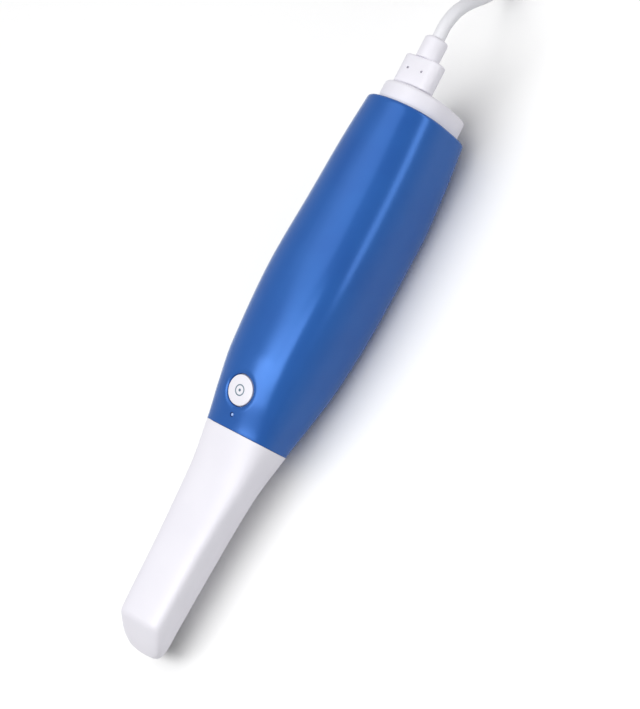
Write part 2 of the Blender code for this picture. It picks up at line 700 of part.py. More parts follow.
def make_boards(frame):
    """The main board on its posts, its processor, heat sink, chips, connector and screws."""
    bottom = BOARD_TOP_Z - BOARD_THICKNESS
    board = box(BOARD_X, BOARD_END_X, BOARD_WIDTH / 2, bottom, BOARD_TOP_Z)
    board = object_of("main_board", board, board_green(), frame)
    for k, (x, y) in enumerate(post_places()):
        hole = SCREW_RADIUS + GAP
        ends = (BOARD_TOP_Z + GAP, bottom - GAP)
        profile = [(0, ends[0]), (hole, ends[0]), (hole, ends[1]), (0, ends[1])]
        cut(board, turned(profile, 12, x, y), f"board_hole_cutter_{k}", frame)

    sink_start = BOARD_X + POST_FROM_BOARD_END + POST_RADIUS + SINK_FROM_POSTS
    middle = sink_start + SINK_LENGTH / 2
    top = bottom - GAP
    low = top - PROCESSOR_HEIGHT
    half = PROCESSOR_SIDE / 2
    object_of("processor", box(middle - half, middle + half, half, low, top), black_plastic(), frame)
    sink_top = low - GAP
    sink_bottom = DECK_Z + GAP
    half = SINK_WIDTH / 2
    pitch = (SINK_WIDTH - FIN_THICKNESS) / (FIN_COUNT - 1)
    roof = sink_top - SINK_PLATE
    outline = [(half, sink_top), (-half, sink_top)]
    for k in range(FIN_COUNT):
        left = -half + k * pitch
        outline += [(left, sink_bottom), (left + FIN_THICKNESS, sink_bottom)]
        if k < FIN_COUNT - 1:
            outline += [(left + FIN_THICKNESS, roof), (left + pitch, roof)]
    sink = prism(outline, sink_start, sink_start + SINK_LENGTH, "x")
    object_of("heat_sink", sink, aluminium(), frame)

    for k, place in enumerate(CHIP_PLACES, 1):
        x = BOARD_X + place
        z = BOARD_TOP_Z + GAP
        chip = box(x, x + CHIP_LENGTH, CHIP_WIDTH / 2, z, z + CHIP_HEIGHT)
        object_of(f"memory_chip_{k}", chip, black_plastic(), frame)

    for k, (x, y) in enumerate(post_places(), 1):
        head = BOARD_TOP_Z + GAP
        profile = [(0, head + SCREW_HEAD_HEIGHT), (SCREW_HEAD_RADIUS, head + SCREW_HEAD_HEIGHT)]
        profile += [(SCREW_HEAD_RADIUS, head), (SCREW_RADIUS, head)]
        end = BOARD_TOP_Z - BOARD_THICKNESS - SCREW_LENGTH + 2 * GAP
        profile += [(SCREW_RADIUS, end), (0, end)]
        object_of(f"board_screw_{k}", turned(profile, 12, x, y), steel(), frame)


def make_flexes(frame, engine_x):
    """The two ribbons from the sensor boards, along the engine's sides, to the main board."""
    start = engine_x
    rise = OPTICS_Z - SENSOR_BOARD_HEIGHT / 4
    level = BOARD_TOP_Z + GAP
    end = BOARD_X + CONNECTOR_LENGTH
    thick = FLEX_THICKNESS
    outline = [(start, rise), (start + thick, rise), (start + thick, level)]
    outline += [(end, level), (end, level + thick), (start, level + thick)]
    side = ENGINE_WIDTH / 2 + GAP + FLEX_WIDTH / 2
    for name, way in (("sensor_flex_left", -1), ("sensor_flex_right", 1)):
        y = way * min(side, BOARD_WIDTH / 2 - FLEX_WIDTH / 2)
        ribbon = prism(outline, y - FLEX_WIDTH / 2, y + FLEX_WIDTH / 2, "y")
        object_of(name, ribbon, material("amber film", (0.55, 0.26, 0.04), 0.4), frame)
    x = end + GAP
    z = BOARD_TOP_Z + GAP
    connector = box(x, x + CONNECTOR_LENGTH, BOARD_WIDTH / 2 - GAP, z, z + CONNECTOR_HEIGHT)
    object_of("flex_connector", connector, white_plastic(), frame)


def make_shell(frame, button_frame, indicator):
    """The one-piece blue shell, open at the front and rear, with the button's and indicator's holes."""
    start = SEAM_X + GAP / 2
    lip = BODY_END_X - LIP_LENGTH
    places = [start, *(SEAM_X + HANDLE_LENGTH * share for share in SHELL_RINGS)]
    places.append(BODY_END_X - REAR_ROUND)
    outer = [section(x) for x in places]
    for step in (1, 2, 3):
        angle = math.pi / 2 * step / 3
        x = BODY_END_X - REAR_ROUND * (1 - math.sin(angle))
        outer.append(section(x, REAR_ROUND * (1 - math.cos(angle))))
    inner = [section(BODY_END_X, CAP_INSET), section(lip, CAP_INSET), section(lip, SHELL_WALL)]
    for share in reversed(INNER_RINGS):
        inner.append(section(SEAM_X + HANDLE_LENGTH * share, SHELL_WALL))
    inner.append(section(start, SHELL_WALL))
    shell = object_of("body_shell", lofted(outer + inner, joined_ends=True), blue_plastic(), frame)
    top = FLANGE_TOP
    hole = BUTTON_RADIUS + GAP
    wide = hole + BUTTON_RECESS
    profile = [(0, top), (wide + top, top), (hole, -BUTTON_RECESS), (hole, -2 * top), (0, -2 * top)]
    cut(shell, turned(profile), "button_hole_cutter", button_frame)
    hole = INDICATOR_RADIUS + GAP
    profile = [(0, top), (hole, top), (hole, -2 * top), (0, -2 * top)]
    cut(shell, turned(profile, 16, indicator.x, indicator.y), "indicator_hole_cutter", button_frame)
    return shell


def make_button(button_frame, indicator):
    """The button cap and plunger, the switch under them on its board, and the light pipe."""
    r = BUTTON_RADIUS
    stem_end = -FLANGE_TOP - FLANGE_THICKNESS - BUTTON_STEM
    profile = [(0, BUTTON_PROUD), (r * 0.6, BUTTON_PROUD * 0.8), (r * 0.93, BUTTON_PROUD * 0.3)]
    profile += [(r, -BUTTON_PROUD), (r, -FLANGE_TOP), (FLANGE_RADIUS, -FLANGE_TOP)]
    profile += [(FLANGE_RADIUS, -FLANGE_TOP - FLANGE_THICKNESS)]
    profile += [(PLUNGER_RADIUS, -FLANGE_TOP - FLANGE_THICKNESS), (PLUNGER_RADIUS, stem_end), (0, stem_end)]
    object_of("button_cap", turned(profile, 36), white_plastic(), button_frame)

    top = stem_end - GAP
    profile = [(0, top), (PLUNGER_RADIUS, top), (PLUNGER_RADIUS, top - PLUNGER_LENGTH)]
    profile.append((0, top - PLUNGER_LENGTH))
    object_of("switch_plunger", turned(profile, 16), black_plastic(), button_frame)

    switch_top = top - PLUNGER_LENGTH + PLUNGER_IN_SWITCH
    half = SWITCH_SIDE / 2
    body = box(-half, half, half, switch_top - SWITCH_HEIGHT, switch_top)
    body = object_of("button_switch", body, steel(), button_frame)
    bore = PLUNGER_RADIUS + GAP
    depth = PLUNGER_IN_SWITCH + BUTTON_TRAVEL + SWITCH_BORE_SPARE
    ends = (switch_top + GAP, switch_top - depth)
    profile = [(0, ends[0]), (bore, ends[0]), (bore, ends[1]), (0, ends[1])]
    cut(body, turned(profile, 16), "switch_bore_cutter", button_frame)

    board_top = switch_top - SWITCH_HEIGHT - GAP
    board_bottom = board_top - BOARD_THICKNESS
    board = box(-BUTTON_BOARD_FRONT, BUTTON_BOARD_REAR, BUTTON_BOARD_WIDTH / 2, board_bottom, board_top)
    object_of("button_board", board, board_green(), button_frame)

    led_bottom = board_top + GAP
    led_top = led_bottom + LED_HEIGHT
    x = indicator.x
    led = box(x - LED_LENGTH / 2, x + LED_LENGTH / 2, LED_WIDTH / 2, led_bottom, led_top)
    object_of("indicator_led", led, material("lamp", (0.9, 0.9, 0.85), 0.3), button_frame)
    r = INDICATOR_RADIUS
    profile = [(0, indicator.z), (r * 0.7, indicator.z - r * 0.15), (r, indicator.z - r * 0.5)]
    profile += [(r, led_top + GAP), (0, led_top + GAP)]
    object_of("light_pipe", turned(profile, 16, x, 0.0), glass(), button_frame)
    return board_bottom


def make_bracket(frame, engine_x, board_bottom, slope):
    """The wedge on the engine's top that carries the button board at its slope."""
    pivot = Vector((BUTTON_X, outside_top(BUTTON_X)))
    along = Vector((math.cos(slope), math.sin(slope)))
    normal = Vector((-math.sin(slope), math.cos(slope)))
    front = engine_x + BRACKET_SETBACK
    under = pivot + normal * (board_bottom - GAP)
    rear = pivot + along * BUTTON_BOARD_REAR + normal * (board_bottom - GAP)
    height_at_front = under.y + (front - under.x) * math.tan(slope)
    bottom = ENGINE_TOP + GAP
    outline = [(front, bottom), (rear.x, bottom), (rear.x, rear.y), (front, height_at_front)]
    wedge = prism(outline, -BUTTON_BOARD_WIDTH / 2, BUTTON_BOARD_WIDTH / 2, "y")
    object_of("button_bracket", wedge, black_plastic(), frame)


def make_rear(frame):
    """The white rear cap with its flange and gasket, and the socket on the main board's end."""
    lip = BODY_END_X - LIP_LENGTH
    flange_end = lip - REAR_GASKET_LENGTH - 2 * GAP
    flange_start = flange_end - CAP_FLANGE_LENGTH
    body_inset = CAP_INSET + GAP
    inside = body_inset + CAP_WALL
    rings = [section(flange_start, SHELL_WALL + GAP), section(flange_end, SHELL_WALL + GAP)]
    for x in (flange_end, REAR_X - CAP_ROUND):
        rings.append(section(BODY_END_X, body_inset, x))
    for step in (1, 2, 3):
        angle = math.pi / 2 * step / 3
        x = REAR_X - CAP_ROUND * (1 - math.sin(angle))
        rings.append(section(BODY_END_X, body_inset + CAP_ROUND * (1 - math.cos(angle)), x))
    rings += [section(BODY_END_X, inside, REAR_X - CAP_WALL), section(BODY_END_X, inside, flange_start)]
    cap = object_of("rear_cap", capped_cup(rings), white_plastic(), frame)
    corner = SOCKET_HEIGHT * TUBE_CORNER + GAP
    outline = rounded_outline(SOCKET_WIDTH + 2 * GAP, SOCKET_HEIGHT + 2 * GAP, corner)
    outline = [(a, b + SOCKET_Z) for a, b in outline]
    cut(cap, prism(outline, REAR_X - 2 * CAP_WALL, REAR_X + GAP, "x"), "socket_hole_cutter", frame)

    ends = (flange_end + GAP, flange_end + GAP + REAR_GASKET_LENGTH)
    seal = [section(x, SHELL_WALL + GAP) for x in ends]
    seal += [section(BODY_END_X, body_inset - GAP, x) for x in reversed(ends)]
    object_of("rear_gasket", lofted(seal, joined_ends=True), rubber(), frame)
    make_socket(frame)


def capped_cup(rings):
    """A cup: rings from its rim outside to its end, then inside from its end back to its rim."""
    made = bmesh.new()
    loops = [[made.verts.new(point) for point in ring] for ring in rings]
    outside, inside = loops[:-2], loops[-2:]
    for near, far in [*zip(outside, outside[1:]), (inside[0], inside[1]), (inside[1], outside[0])]:
        for k in range(len(near)):
            n = (k + 1) % len(near)
            made.faces.new((near[k], near[n], far[n], far[k]))
    made.faces.new(outside[-1])
    made.faces.new(inside[0])
    return made


def shell_tube(x0, x1, width, height, wall, z):
    """A bmesh tube with a rounded rectangular section along the axis."""
    corner = height * TUBE_CORNER
    inner = (width - 2 * wall, height - 2 * wall, max(corner - wall, wall))
    rings = [rounded_ring(x, width, height, corner, z) for x in (x0, x1)]
    rings += [rounded_ring(x, *inner, z) for x in (x1, x0)]
    return lofted(rings, joined_ends=True)


def make_socket(frame):
    """The socket's metal shell on the board's end, and the contact tongue inside it."""
    end = REAR_X - GAP
    start = end - SOCKET_LENGTH
    tube = shell_tube(start, end, SOCKET_WIDTH, SOCKET_HEIGHT, SOCKET_WALL, SOCKET_Z)
    object_of("cable_socket", tube, steel(), frame)
    width = SOCKET_WIDTH - 2 * SOCKET_WALL - 2 * GAP
    height = SOCKET_HEIGHT - 2 * SOCKET_WALL - 2 * GAP
    rings = [rounded_ring(x, width, height, height * 0.3, SOCKET_Z) for x in (start, start + SOCKET_BASE)]
    base = object_of("socket_tongue", lofted(rings), black_plastic(), frame)
    half = TONGUE_THICKNESS / 2
    reach = start + SOCKET_BASE + TONGUE_LENGTH
    tongue = box(start + SOCKET_BASE / 2, reach, TONGUE_WIDTH / 2, SOCKET_Z - half, SOCKET_Z + half)
    fuse(base, tongue, "tongue_adder", frame)


def make_plug(frame):
    """The lead's plug on the cap's back face, its contact shell and its neck."""
    face = REAR_X + GAP
    width = SOCKET_WIDTH - 2 * SOCKET_WALL - 2 * GAP
    height = SOCKET_HEIGHT - 2 * SOCKET_WALL - 2 * GAP
    start = REAR_X - GAP - SOCKET_LENGTH + SOCKET_BASE + GAP
    tube = shell_tube(start, REAR_X, width, height, PLUG_SHELL_WALL, SOCKET_Z)
    object_of("plug_contact_shell", tube, steel(), frame)

    end = face + PLUG_LENGTH
    rings = []
    for x, edge in ((face, PLUG_EDGE), (face + PLUG_EDGE, 0), (end - PLUG_EDGE, 0), (end, PLUG_EDGE)):
        size = (PLUG_WIDTH - 2 * edge, PLUG_HEIGHT - 2 * edge, PLUG_CORNER - edge)
        rings.append(rounded_ring(x, *size, SOCKET_Z))
    housing = object_of("plug_housing", lofted(rings), white_plastic(), frame)
    for hand, way in (("left", -1), ("right", 1)):
        top = SOCKET_Z + PLUG_HEIGHT / 2
        y = way * PIN_HOLE_SPACING / 2
        r = PIN_HOLE_RADIUS
        profile = [(0, top + GAP), (r, top + GAP), (r, top - PIN_HOLE_DEPTH), (0, top - PIN_HOLE_DEPTH)]
        cut(housing, turned(profile, 12, REAR_X + PIN_HOLE_FROM_CAP, y), "pin_hole_cutter_" + hand, frame)

    start = end + GAP
    finish = start + NECK_LENGTH
    rings = [circle_ring(start, NECK_RADIUS, 0, SOCKET_Z)]
    for back, drop in ((1.0, 0.0), (0.35, 0.3), (0.0, 1.0)):
        x = finish - back * NECK_CHAMFER
        rings.append(circle_ring(x, NECK_RADIUS - drop * NECK_CHAMFER, 0, SOCKET_Z))
    object_of("plug_neck", lofted(rings), white_plastic(), frame)
    return finish


def smooth_route(points, step):
    """Points about a step apart along a smooth curve through the route's own points."""
    route = [Vector(point) for point in points]
    padded = [2 * route[0] - route[1], *route, 2 * route[-1] - route[-2]]
    fine = []
    for a, b, c, d in zip(padded, padded[1:], padded[2:], padded[3:]):
        for k in range(20):
            t = k / 20
            bend = (2 * a - 5 * b + 4 * c - d) * t**2 + (3 * b - a - 3 * c + d) * t**3
            fine.append(b + ((c - a) * t + bend) / 2)
    fine.append(route[-1])
    reach = [0.0]
    for near, far in zip(fine, fine[1:]):
        reach.append(reach[-1] + (far - near).length)
    count = max(2, round(reach[-1] / step))
    spaced = []
    for n in range(count + 1):
        goal = reach[-1] * n / count
        k = min(max(i for i, r in enumerate(reach) if r <= goal + 1e-9), len(fine) - 2)
        share = (goal - reach[k]) / (reach[k + 1] - reach[k])
        spaced.append(fine[k].lerp(fine[k + 1], share))
    return spaced


def cord_tube(name, points, parent):
    """A closed tube of the lead's diameter along the points, as a bevelled curve."""
    curve = bpy.data.curves.new(name, "CURVE")
    curve.dimensions = "3D"
    curve.bevel_depth = CORD_DIAMETER / 2
    curve.bevel_resolution = CORD_BEVEL_RESOLUTION
    curve.use_fill_caps = True
    spline = curve.splines.new("POLY")
    spline.points.add(len(points) - 1)
    for place, point in zip(spline.points, points):
        place.co = (*point, 1.0)
    curve.materials.append(white_cable())
    made = bpy.data.objects.new(name, curve)
    bpy.context.collection.objects.link(made)
    made.parent = parent
    return made


def stadium(radius):
    """The outline, seen from above, of a loop whose two round ends have this radius."""
    outline = []
    for centre, first in ((HANK_CENTRE_X, 90), (HANK_CENTRE_X + HANK_RUN, -90)):
        for k in range(HANK_END_SIDES + 1):
            angle = math.radians(first + 180 * k / HANK_END_SIDES)
            outline.append((centre + radius * math.cos(angle), radius * math.sin(angle)))
    return outline


def make_lead(exit_point, exit_direction):
    """The lead from the neck to the hank, the hank, its tie, the tail on top and the far plug."""
    start = exit_point + exit_direction * GAP
    straight = start + exit_direction * CORD_DIAMETER * 0.6
    cord_tube("cable", smooth_route([start, straight, *LEAD_ROUTE], CORD_STEP), None)

    outer, inner = stadium(HANK_HALF_WIDTH), stadium(HANK_HOLE_RADIUS)
    rings = [[Vector((x, y, z)) for x, y in outer] for z in (HANK_BOTTOM, HANK_TOP)]
    rings += [[Vector((x, y, z)) for x, y in inner] for z in (HANK_TOP, HANK_BOTTOM)]
    object_of("cable_hank", lofted(rings, joined_ends=True), white_cable())

    x0 = HANK_START + TIE_FROM_HANK_END
    middle = (HANK_BOTTOM + HANK_TOP) / 2
    rings = []
    for x, out in ((x0, TIE_THICKNESS), (x0 + TIE_WIDTH, TIE_THICKNESS), (x0 + TIE_WIDTH, 0), (x0, 0)):
        width = 2 * (HANK_HALF_WIDTH + GAP + out)
        height = HANK_TOP - HANK_BOTTOM + 2 * (GAP + out)
        rings.append(rounded_ring(x, width, height, GAP + out, middle))
    strap = material("black strap", (0.03, 0.03, 0.03), 0.8)
    object_of("cable_tie", lofted(rings, joined_ends=True), strap)

    y = HANK_END_RADIUS
    end = HANK_CENTRE_X + TAIL_LENGTH
    tail = [(HANK_CENTRE_X, y, TAIL_Z), (x0 + TIE_WIDTH / 2, y, TAIL_Z), (x0 + TIE_WIDTH, y, TAIL_Z)]
    tail += [(end - CORD_DIAMETER / 2, y, END_PLUG_Z), (end, y, END_PLUG_Z)]
    cord_tube("cable_tail", smooth_route(tail, CORD_STEP / 2), None)
    make_end_plug(end + GAP, y)


def make_end_plug(start, y):
    """The far plug: its strain relief, its housing and its contact shell."""
    away = Matrix.Translation((0, y, 0))
    relief_end = start + END_RELIEF_LENGTH
    rings = [circle_ring(start, CORD_DIAMETER / 2, 0, END_PLUG_Z)]
    rings.append(circle_ring(relief_end, END_RELIEF_RADIUS, 0, END_PLUG_Z))
    relief = object_of("end_plug_relief", lofted(rings), white_plastic())
    relief.data.transform(away)

    housing_start = relief_end + GAP
    housing_end = housing_start + END_PLUG_LENGTH
    rings = []
    for x, edge in (
        (housing_start, PLUG_EDGE),
        (housing_start + PLUG_EDGE, 0),
        (housing_end - PLUG_EDGE, 0),
        (housing_end, PLUG_EDGE),
    ):
        size = (END_PLUG_WIDTH - 2 * edge, END_PLUG_HEIGHT - 2 * edge, END_PLUG_CORNER - edge)
        rings.append(rounded_ring(x, *size, END_PLUG_Z))
    housing = object_of("end_plug_housing", lofted(rings), white_plastic())
    housing.data.transform(away)

    shell_start = housing_end + GAP
    size = (END_SHELL_WIDTH, END_SHELL_HEIGHT, END_SHELL_WALL)
    shell = shell_tube(shell_start, shell_start + END_SHELL_LENGTH, *size, END_PLUG_Z)
    shell = object_of("end_plug_shell", shell, steel())
    shell.data.transform(away)


def main():
    clear_scene()
    ends = [point for x in (0.0, BODY_END_X) for point in section(x)]
    ends += section(BODY_END_X, CAP_INSET + GAP + CAP_ROUND, REAR_X)
    turn = Matrix.Rotation(-REST_TILT, 3, "Y")
    spread = [(turn @ point).x for point in ends]
    middle = (min(spread) + max(spread)) / 2
    frame = empty("handpiece_frame", None, (-middle, 0, AXIS_HEIGHT), (0, -REST_TILT, 0))
    tip_frame = empty("tip_slide_axis", frame)
    plug_frame = empty("plug_slide_axis", frame)

    step = 0.002
    slope = math.atan((outside_top(BUTTON_X + step) - outside_top(BUTTON_X - step)) / (2 * step))
    button_place = Vector((BUTTON_X, 0, outside_top(BUTTON_X)))
    button_frame = empty("button_axis", frame, button_place, (0, -slope, 0))
    to_button = Matrix.Rotation(slope, 3, "Y")
    indicator = to_button @ (Vector((INDICATOR_X, 0, outside_top(INDICATOR_X))) - button_place)

    make_tip(tip_frame)
    make_nose(frame)
    make_optics(frame)
    engine_x = make_engine(frame)
    make_chassis(frame)
    make_boards(frame)
    make_flexes(frame, engine_x)
    make_shell(frame, button_frame, indicator)
    board_bottom = make_button(button_frame, indicator)
    make_bracket(frame, engine_x, board_bottom, slope)
    make_rear(frame)
    neck_end = make_plug(plug_frame)
    place = Matrix.Translation((-middle, 0, AXIS_HEIGHT)) @ turn.to_4x4()
    make_lead(place @ Vector((neck_end, 0, SOCKET_Z)), turn @ Vector((1, 0, 0)))


main()
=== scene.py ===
# %% [markdown]
# A handheld scanner for teeth, dressed for its picture
#
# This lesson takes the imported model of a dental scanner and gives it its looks. The model brings every
# solid at its real size: the shell, the slide-off tip, the optics inside, and the lead. What it lacks is
# fine surfaces and finishes. The outer skins are rebuilt here as dense, smooth meshes on the same
# sections, the lead becomes one real cord, and each material gets its grain.

# %% Load the frame
import math

import bmesh
import bpy
from mathutils import Matrix, Vector
from mathutils.bvhtree import BVHTree
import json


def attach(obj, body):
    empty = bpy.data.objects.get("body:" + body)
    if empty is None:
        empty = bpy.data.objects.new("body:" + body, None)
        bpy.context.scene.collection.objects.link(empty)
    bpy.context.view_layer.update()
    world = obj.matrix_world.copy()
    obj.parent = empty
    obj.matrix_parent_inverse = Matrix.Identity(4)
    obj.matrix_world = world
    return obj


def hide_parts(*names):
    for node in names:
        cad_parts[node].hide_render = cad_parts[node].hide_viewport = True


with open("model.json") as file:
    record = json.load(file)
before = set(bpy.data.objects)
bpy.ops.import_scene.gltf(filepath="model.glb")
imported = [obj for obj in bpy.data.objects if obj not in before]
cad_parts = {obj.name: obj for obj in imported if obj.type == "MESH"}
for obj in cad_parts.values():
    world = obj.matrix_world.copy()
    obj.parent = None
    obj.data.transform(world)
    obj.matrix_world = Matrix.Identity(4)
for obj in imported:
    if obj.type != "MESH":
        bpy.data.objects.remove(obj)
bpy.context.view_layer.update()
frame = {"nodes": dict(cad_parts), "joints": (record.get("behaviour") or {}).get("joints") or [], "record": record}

nodes = frame["nodes"]

# %% [markdown]
# The handpiece lies on its belly with its rear tilted up. Its sections are drawn along its own axis, so
# every skin is built in that frame first, and then turned and moved to where the solid lies. The tip's
# joint slides along the axis, so its direction gives the tilt. The footprint's middle is the origin.

# %% The handpiece's own frame
HANDPIECE_MIDDLE = 0.12411
AXIS_HEIGHT = 0.01105
tip_axis = Vector(next(joint["axis"] for joint in frame["joints"] if joint["name"] == "tip_slide"))
rest_tilt = math.atan2(tip_axis.z, tip_axis.x) + math.pi
to_world = Matrix.Translation((-HANDPIECE_MIDDLE, 0, AXIS_HEIGHT)) @ Matrix.Rotation(-rest_tilt, 4, "Y")
print("rest tilt in degrees:", round(math.degrees(rest_tilt), 2))

# %% [markdown]
# The camera comes first, because it decides what is seen. The picture was taken from above and from the
# near side, with a long lens, and the scanner's axis stands steep in the frame. A camera is a place, a
# point that it looks at, and a roll. Here the roll is found from the axis itself: its direction across
# the picture is known, so the picture's up and right directions follow by turning it in the image plane.

# %% The camera
CAMERA_PLACE = Vector((0.0949, -0.5076, 0.6737))
LOOK_AT = Vector((0.1384, -0.00605, -0.00456))
AXIS_LEAN = math.radians(62.61)
PICTURE_HEIGHT = 709
FOCAL_PIXELS = 2114.6
SENSOR_WIDTH = 36.0

eye = to_world @ CAMERA_PLACE
forward = ((to_world @ LOOK_AT) - eye).normalized()
axis = to_world.to_3x3() @ Vector((1, 0, 0))
along = (axis - forward * axis.dot(forward)).normalized()
across = forward.cross(along)
if across.z > 0:
    across = -across
right = math.cos(AXIS_LEAN) * along + math.sin(AXIS_LEAN) * across
up = math.sin(AXIS_LEAN) * along - math.cos(AXIS_LEAN) * across
camera_data = bpy.data.cameras.new("camera")
camera_data.sensor_fit = "AUTO"
camera_data.sensor_width = SENSOR_WIDTH
camera_data.lens = SENSOR_WIDTH * FOCAL_PIXELS / PICTURE_HEIGHT
camera_data.clip_end = 20.0
camera = bpy.data.objects.new("camera", camera_data)
bpy.context.scene.collection.objects.link(camera)
camera.matrix_world = Matrix.Translation(eye) @ Matrix((right, up, -forward)).transposed().to_4x4()
bpy.context.scene.camera = camera
bpy.context.scene.view_settings.view_transform = "Standard"
print("camera at", [round(value, 3) for value in eye], "lens", round(camera_data.lens, 1))

# %% [markdown]
# The lead is a soft thing of a fixed length, so its facts come before its shape: 2 m long, 5.5 mm thick,
# medium stiff, with a plug at each end. It leaves the neck straight, bends down to the table under its
# weight, and runs to the hank that holds the rest. The hank is wound by a rule. A turn is a loop with
# two straight runs and two round ends. Slots side by side and on each other hold one turn each, and
# near the end of each turn the lead eases over into the next slot, a little earlier each time, so that
# no two crossings meet.

# %% The lead's route to the hank
CORD_DIAMETER = 0.0055
NECK_END = (0.1453, 0.0, 0.0389)
LEAD_ROUTE = (
    (0.1520, 0.0000, 0.0392),
    (0.1585, 0.0003, 0.0372),
    (0.1645, 0.0012, 0.0326),
    (0.1700, 0.0028, 0.0262),
    (0.1752, 0.0050, 0.0190),
    (0.1808, 0.0074, 0.0122),
    (0.1868, 0.0100, 0.0070),
    (0.1932, 0.0130, 0.0050),
    (0.1986, 0.0168, 0.0046),
)
INTO_THE_HANK = ((0.2046, 0.0205, 0.0046), (0.2120, 0.0222, 0.0046))
print("route points to the hank:", len(LEAD_ROUTE) + len(INTO_THE_HANK))

# %% The hank's turns
HANK_NEAR_END = 0.22085
HANK_RUN = 0.0733
HANK_RADIUS = 0.01925
HANK_PITCH = 0.0056
HANK_BOTTOM = 0.0018
TAIL_HEIGHT = 0.02875
TURNS = 7
POINTS_A_TURN = 44
OUTER, INNER, MIDDLE = HANK_PITCH / 2, -HANK_PITCH / 2, 0.0
SLOT_ORDER = (
    (OUTER, 0), (INNER, 0), (INNER, 1), (OUTER, 1),
    (OUTER, 2), (INNER, 2), (INNER, 3), (OUTER, 3),
)
EASE_FROM = 0.8
EASE_TO = 0.9
EASE_EARLIER = 0.1
LAST_EASE = 0.15


def layer_height(layer):
    """The height of the cord's middle in a layer of the hank."""
    return HANK_BOTTOM + HANK_PITCH * (layer + 0.5)


def loop_point(share, offset, height):
    """A point on the loop: share runs from 0 to 1 round it, offset is outward from its middle line."""
    straight, bend = HANK_RUN, math.pi * HANK_RADIUS
    reach = (share % 1.0) * 2 * (straight + bend)
    side = HANK_RADIUS + offset
    far = HANK_NEAR_END + HANK_RUN
    if reach < straight:
        return Vector((HANK_NEAR_END + reach, side, height))
    if reach < straight + bend:
        angle = math.pi / 2 - (reach - straight) / HANK_RADIUS
        return Vector((far + side * math.cos(angle), side * math.sin(angle), height))
    if reach < 2 * straight + bend:
        return Vector((far - (reach - straight - bend), -side, height))
    angle = -math.pi / 2 - (reach - 2 * straight - bend) / HANK_RADIUS
    return Vector((HANK_NEAR_END + side * math.cos(angle), side * math.sin(angle), height))


def ease(value):
    """A smooth step from 0 to 1."""
    value = min(max(value, 0.0), 1.0)
    return value * value * (3 - 2 * value)


def hank_slot(turned):
    """The offset and height of the cord after so many turns, easing from slot to slot."""
    slots = [(offset, layer_height(layer)) for offset, layer in SLOT_ORDER] + [(MIDDLE, TAIL_HEIGHT)]
    offset, height = slots[0]
    for k, (next_offset, next_height) in enumerate(slots[1:]):
        if k < TURNS:
            start, end = k + EASE_FROM - EASE_EARLIER * k, k + EASE_TO - EASE_EARLIER * k
        else:
            start, end = TURNS - LAST_EASE, TURNS
        share = ease((turned - start) / (end - start))
        offset += (next_offset - offset) * share
        height += (next_height - height) * share
    return offset, height


hank_points = []
for k in range(TURNS * POINTS_A_TURN + 1):
    share = k / POINTS_A_TURN
    hank_points.append(loop_point(share, *hank_slot(share)))
print("hank points:", len(hank_points))

# %% [markdown]
# The tail leaves the last turn on top of the hank, dips to the far plug's height and enters its strain
# relief. All the points then go into one poly curve with a round bevel. A curve keeps the cord's true
# centreline, and its bevel gives the jacket. Its points come from a smooth spline through the route, so
# that nothing looks like bent wire. The bevel is drawn with a radius of 1, and the radius of each point
# brings it down to the cord's own.

# %% The whole centreline
TAIL_LENGTH = 0.0220
END_PLUG_HEIGHT = 0.0279
TIE_START = 0.2250
TIE_WIDTH = 0.0080
CORD_STEP = 0.0025
STRAIGHT_DIAMETERS = 0.6
SAME_PLACE = 0.0001


def through(points, step):
    """Points about a step apart on a smooth curve through the given ones."""
    route = [Vector(point) for point in points]
    padded = [2 * route[0] - route[1], *route, 2 * route[-1] - route[-2]]
    fine = []
    for a, b, c, d in zip(padded, padded[1:], padded[2:], padded[3:]):
        count = max(2, math.ceil((c - b).length / step))
        for k in range(count):
            t = k / count
            bend = (2 * a - 5 * b + 4 * c - d) * t**2 + (3 * b - a - 3 * c + d) * t**3
            fine.append(b + ((c - a) * t + bend) / 2)
    return [*fine, route[-1]]


cord_start = Vector(NECK_END)
straight_out = cord_start + axis * CORD_DIAMETER * STRAIGHT_DIAMETERS
lead_in = [cord_start, straight_out, *LEAD_ROUTE, *INTO_THE_HANK, hank_points[0], hank_points[1]]
tail_y = HANK_RADIUS
tail_end = HANK_NEAR_END + TAIL_LENGTH
tail = [
    hank_points[-2],
    hank_points[-1],
    (TIE_START + TIE_WIDTH / 2, tail_y, TAIL_HEIGHT),
    (TIE_START + TIE_WIDTH, tail_y, TAIL_HEIGHT),
    (tail_end - CORD_DIAMETER / 2, tail_y, END_PLUG_HEIGHT),
    (tail_end, tail_y, END_PLUG_HEIGHT),
]
route = [*through(lead_in, CORD_STEP)[:-1], *hank_points[1:-1], *through(tail, CORD_STEP)[1:]]
centreline = route[:1]
centreline += [b for a, b in zip(route, route[1:]) if (b - a).length > SAME_PLACE]
cord_length = sum((b - a).length for a, b in zip(centreline, centreline[1:]))
print("cord length:", round(cord_length, 4), "points:", len(centreline))

# %% The lead as a curve
lead_curve = bpy.data.curves.new("lead", "CURVE")
lead_curve.dimensions = "3D"
lead_curve.bevel_depth = 1.0
lead_curve.bevel_resolution = 6
lead_curve.use_fill_caps = True
spline = lead_curve.splines.new("POLY")
spline.points.add(len(centreline) - 1)
for place, point in zip(spline.points, centreline):
    place.co = (*point, 1.0)
    place.radius = CORD_DIAMETER / 2
spline.use_smooth = True
lead = bpy.data.objects.new("lead", lead_curve)
bpy.context.scene.collection.objects.link(lead)
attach(lead, "cable")
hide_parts("cable", "cable_hank", "cable_tail")
print("lead made")

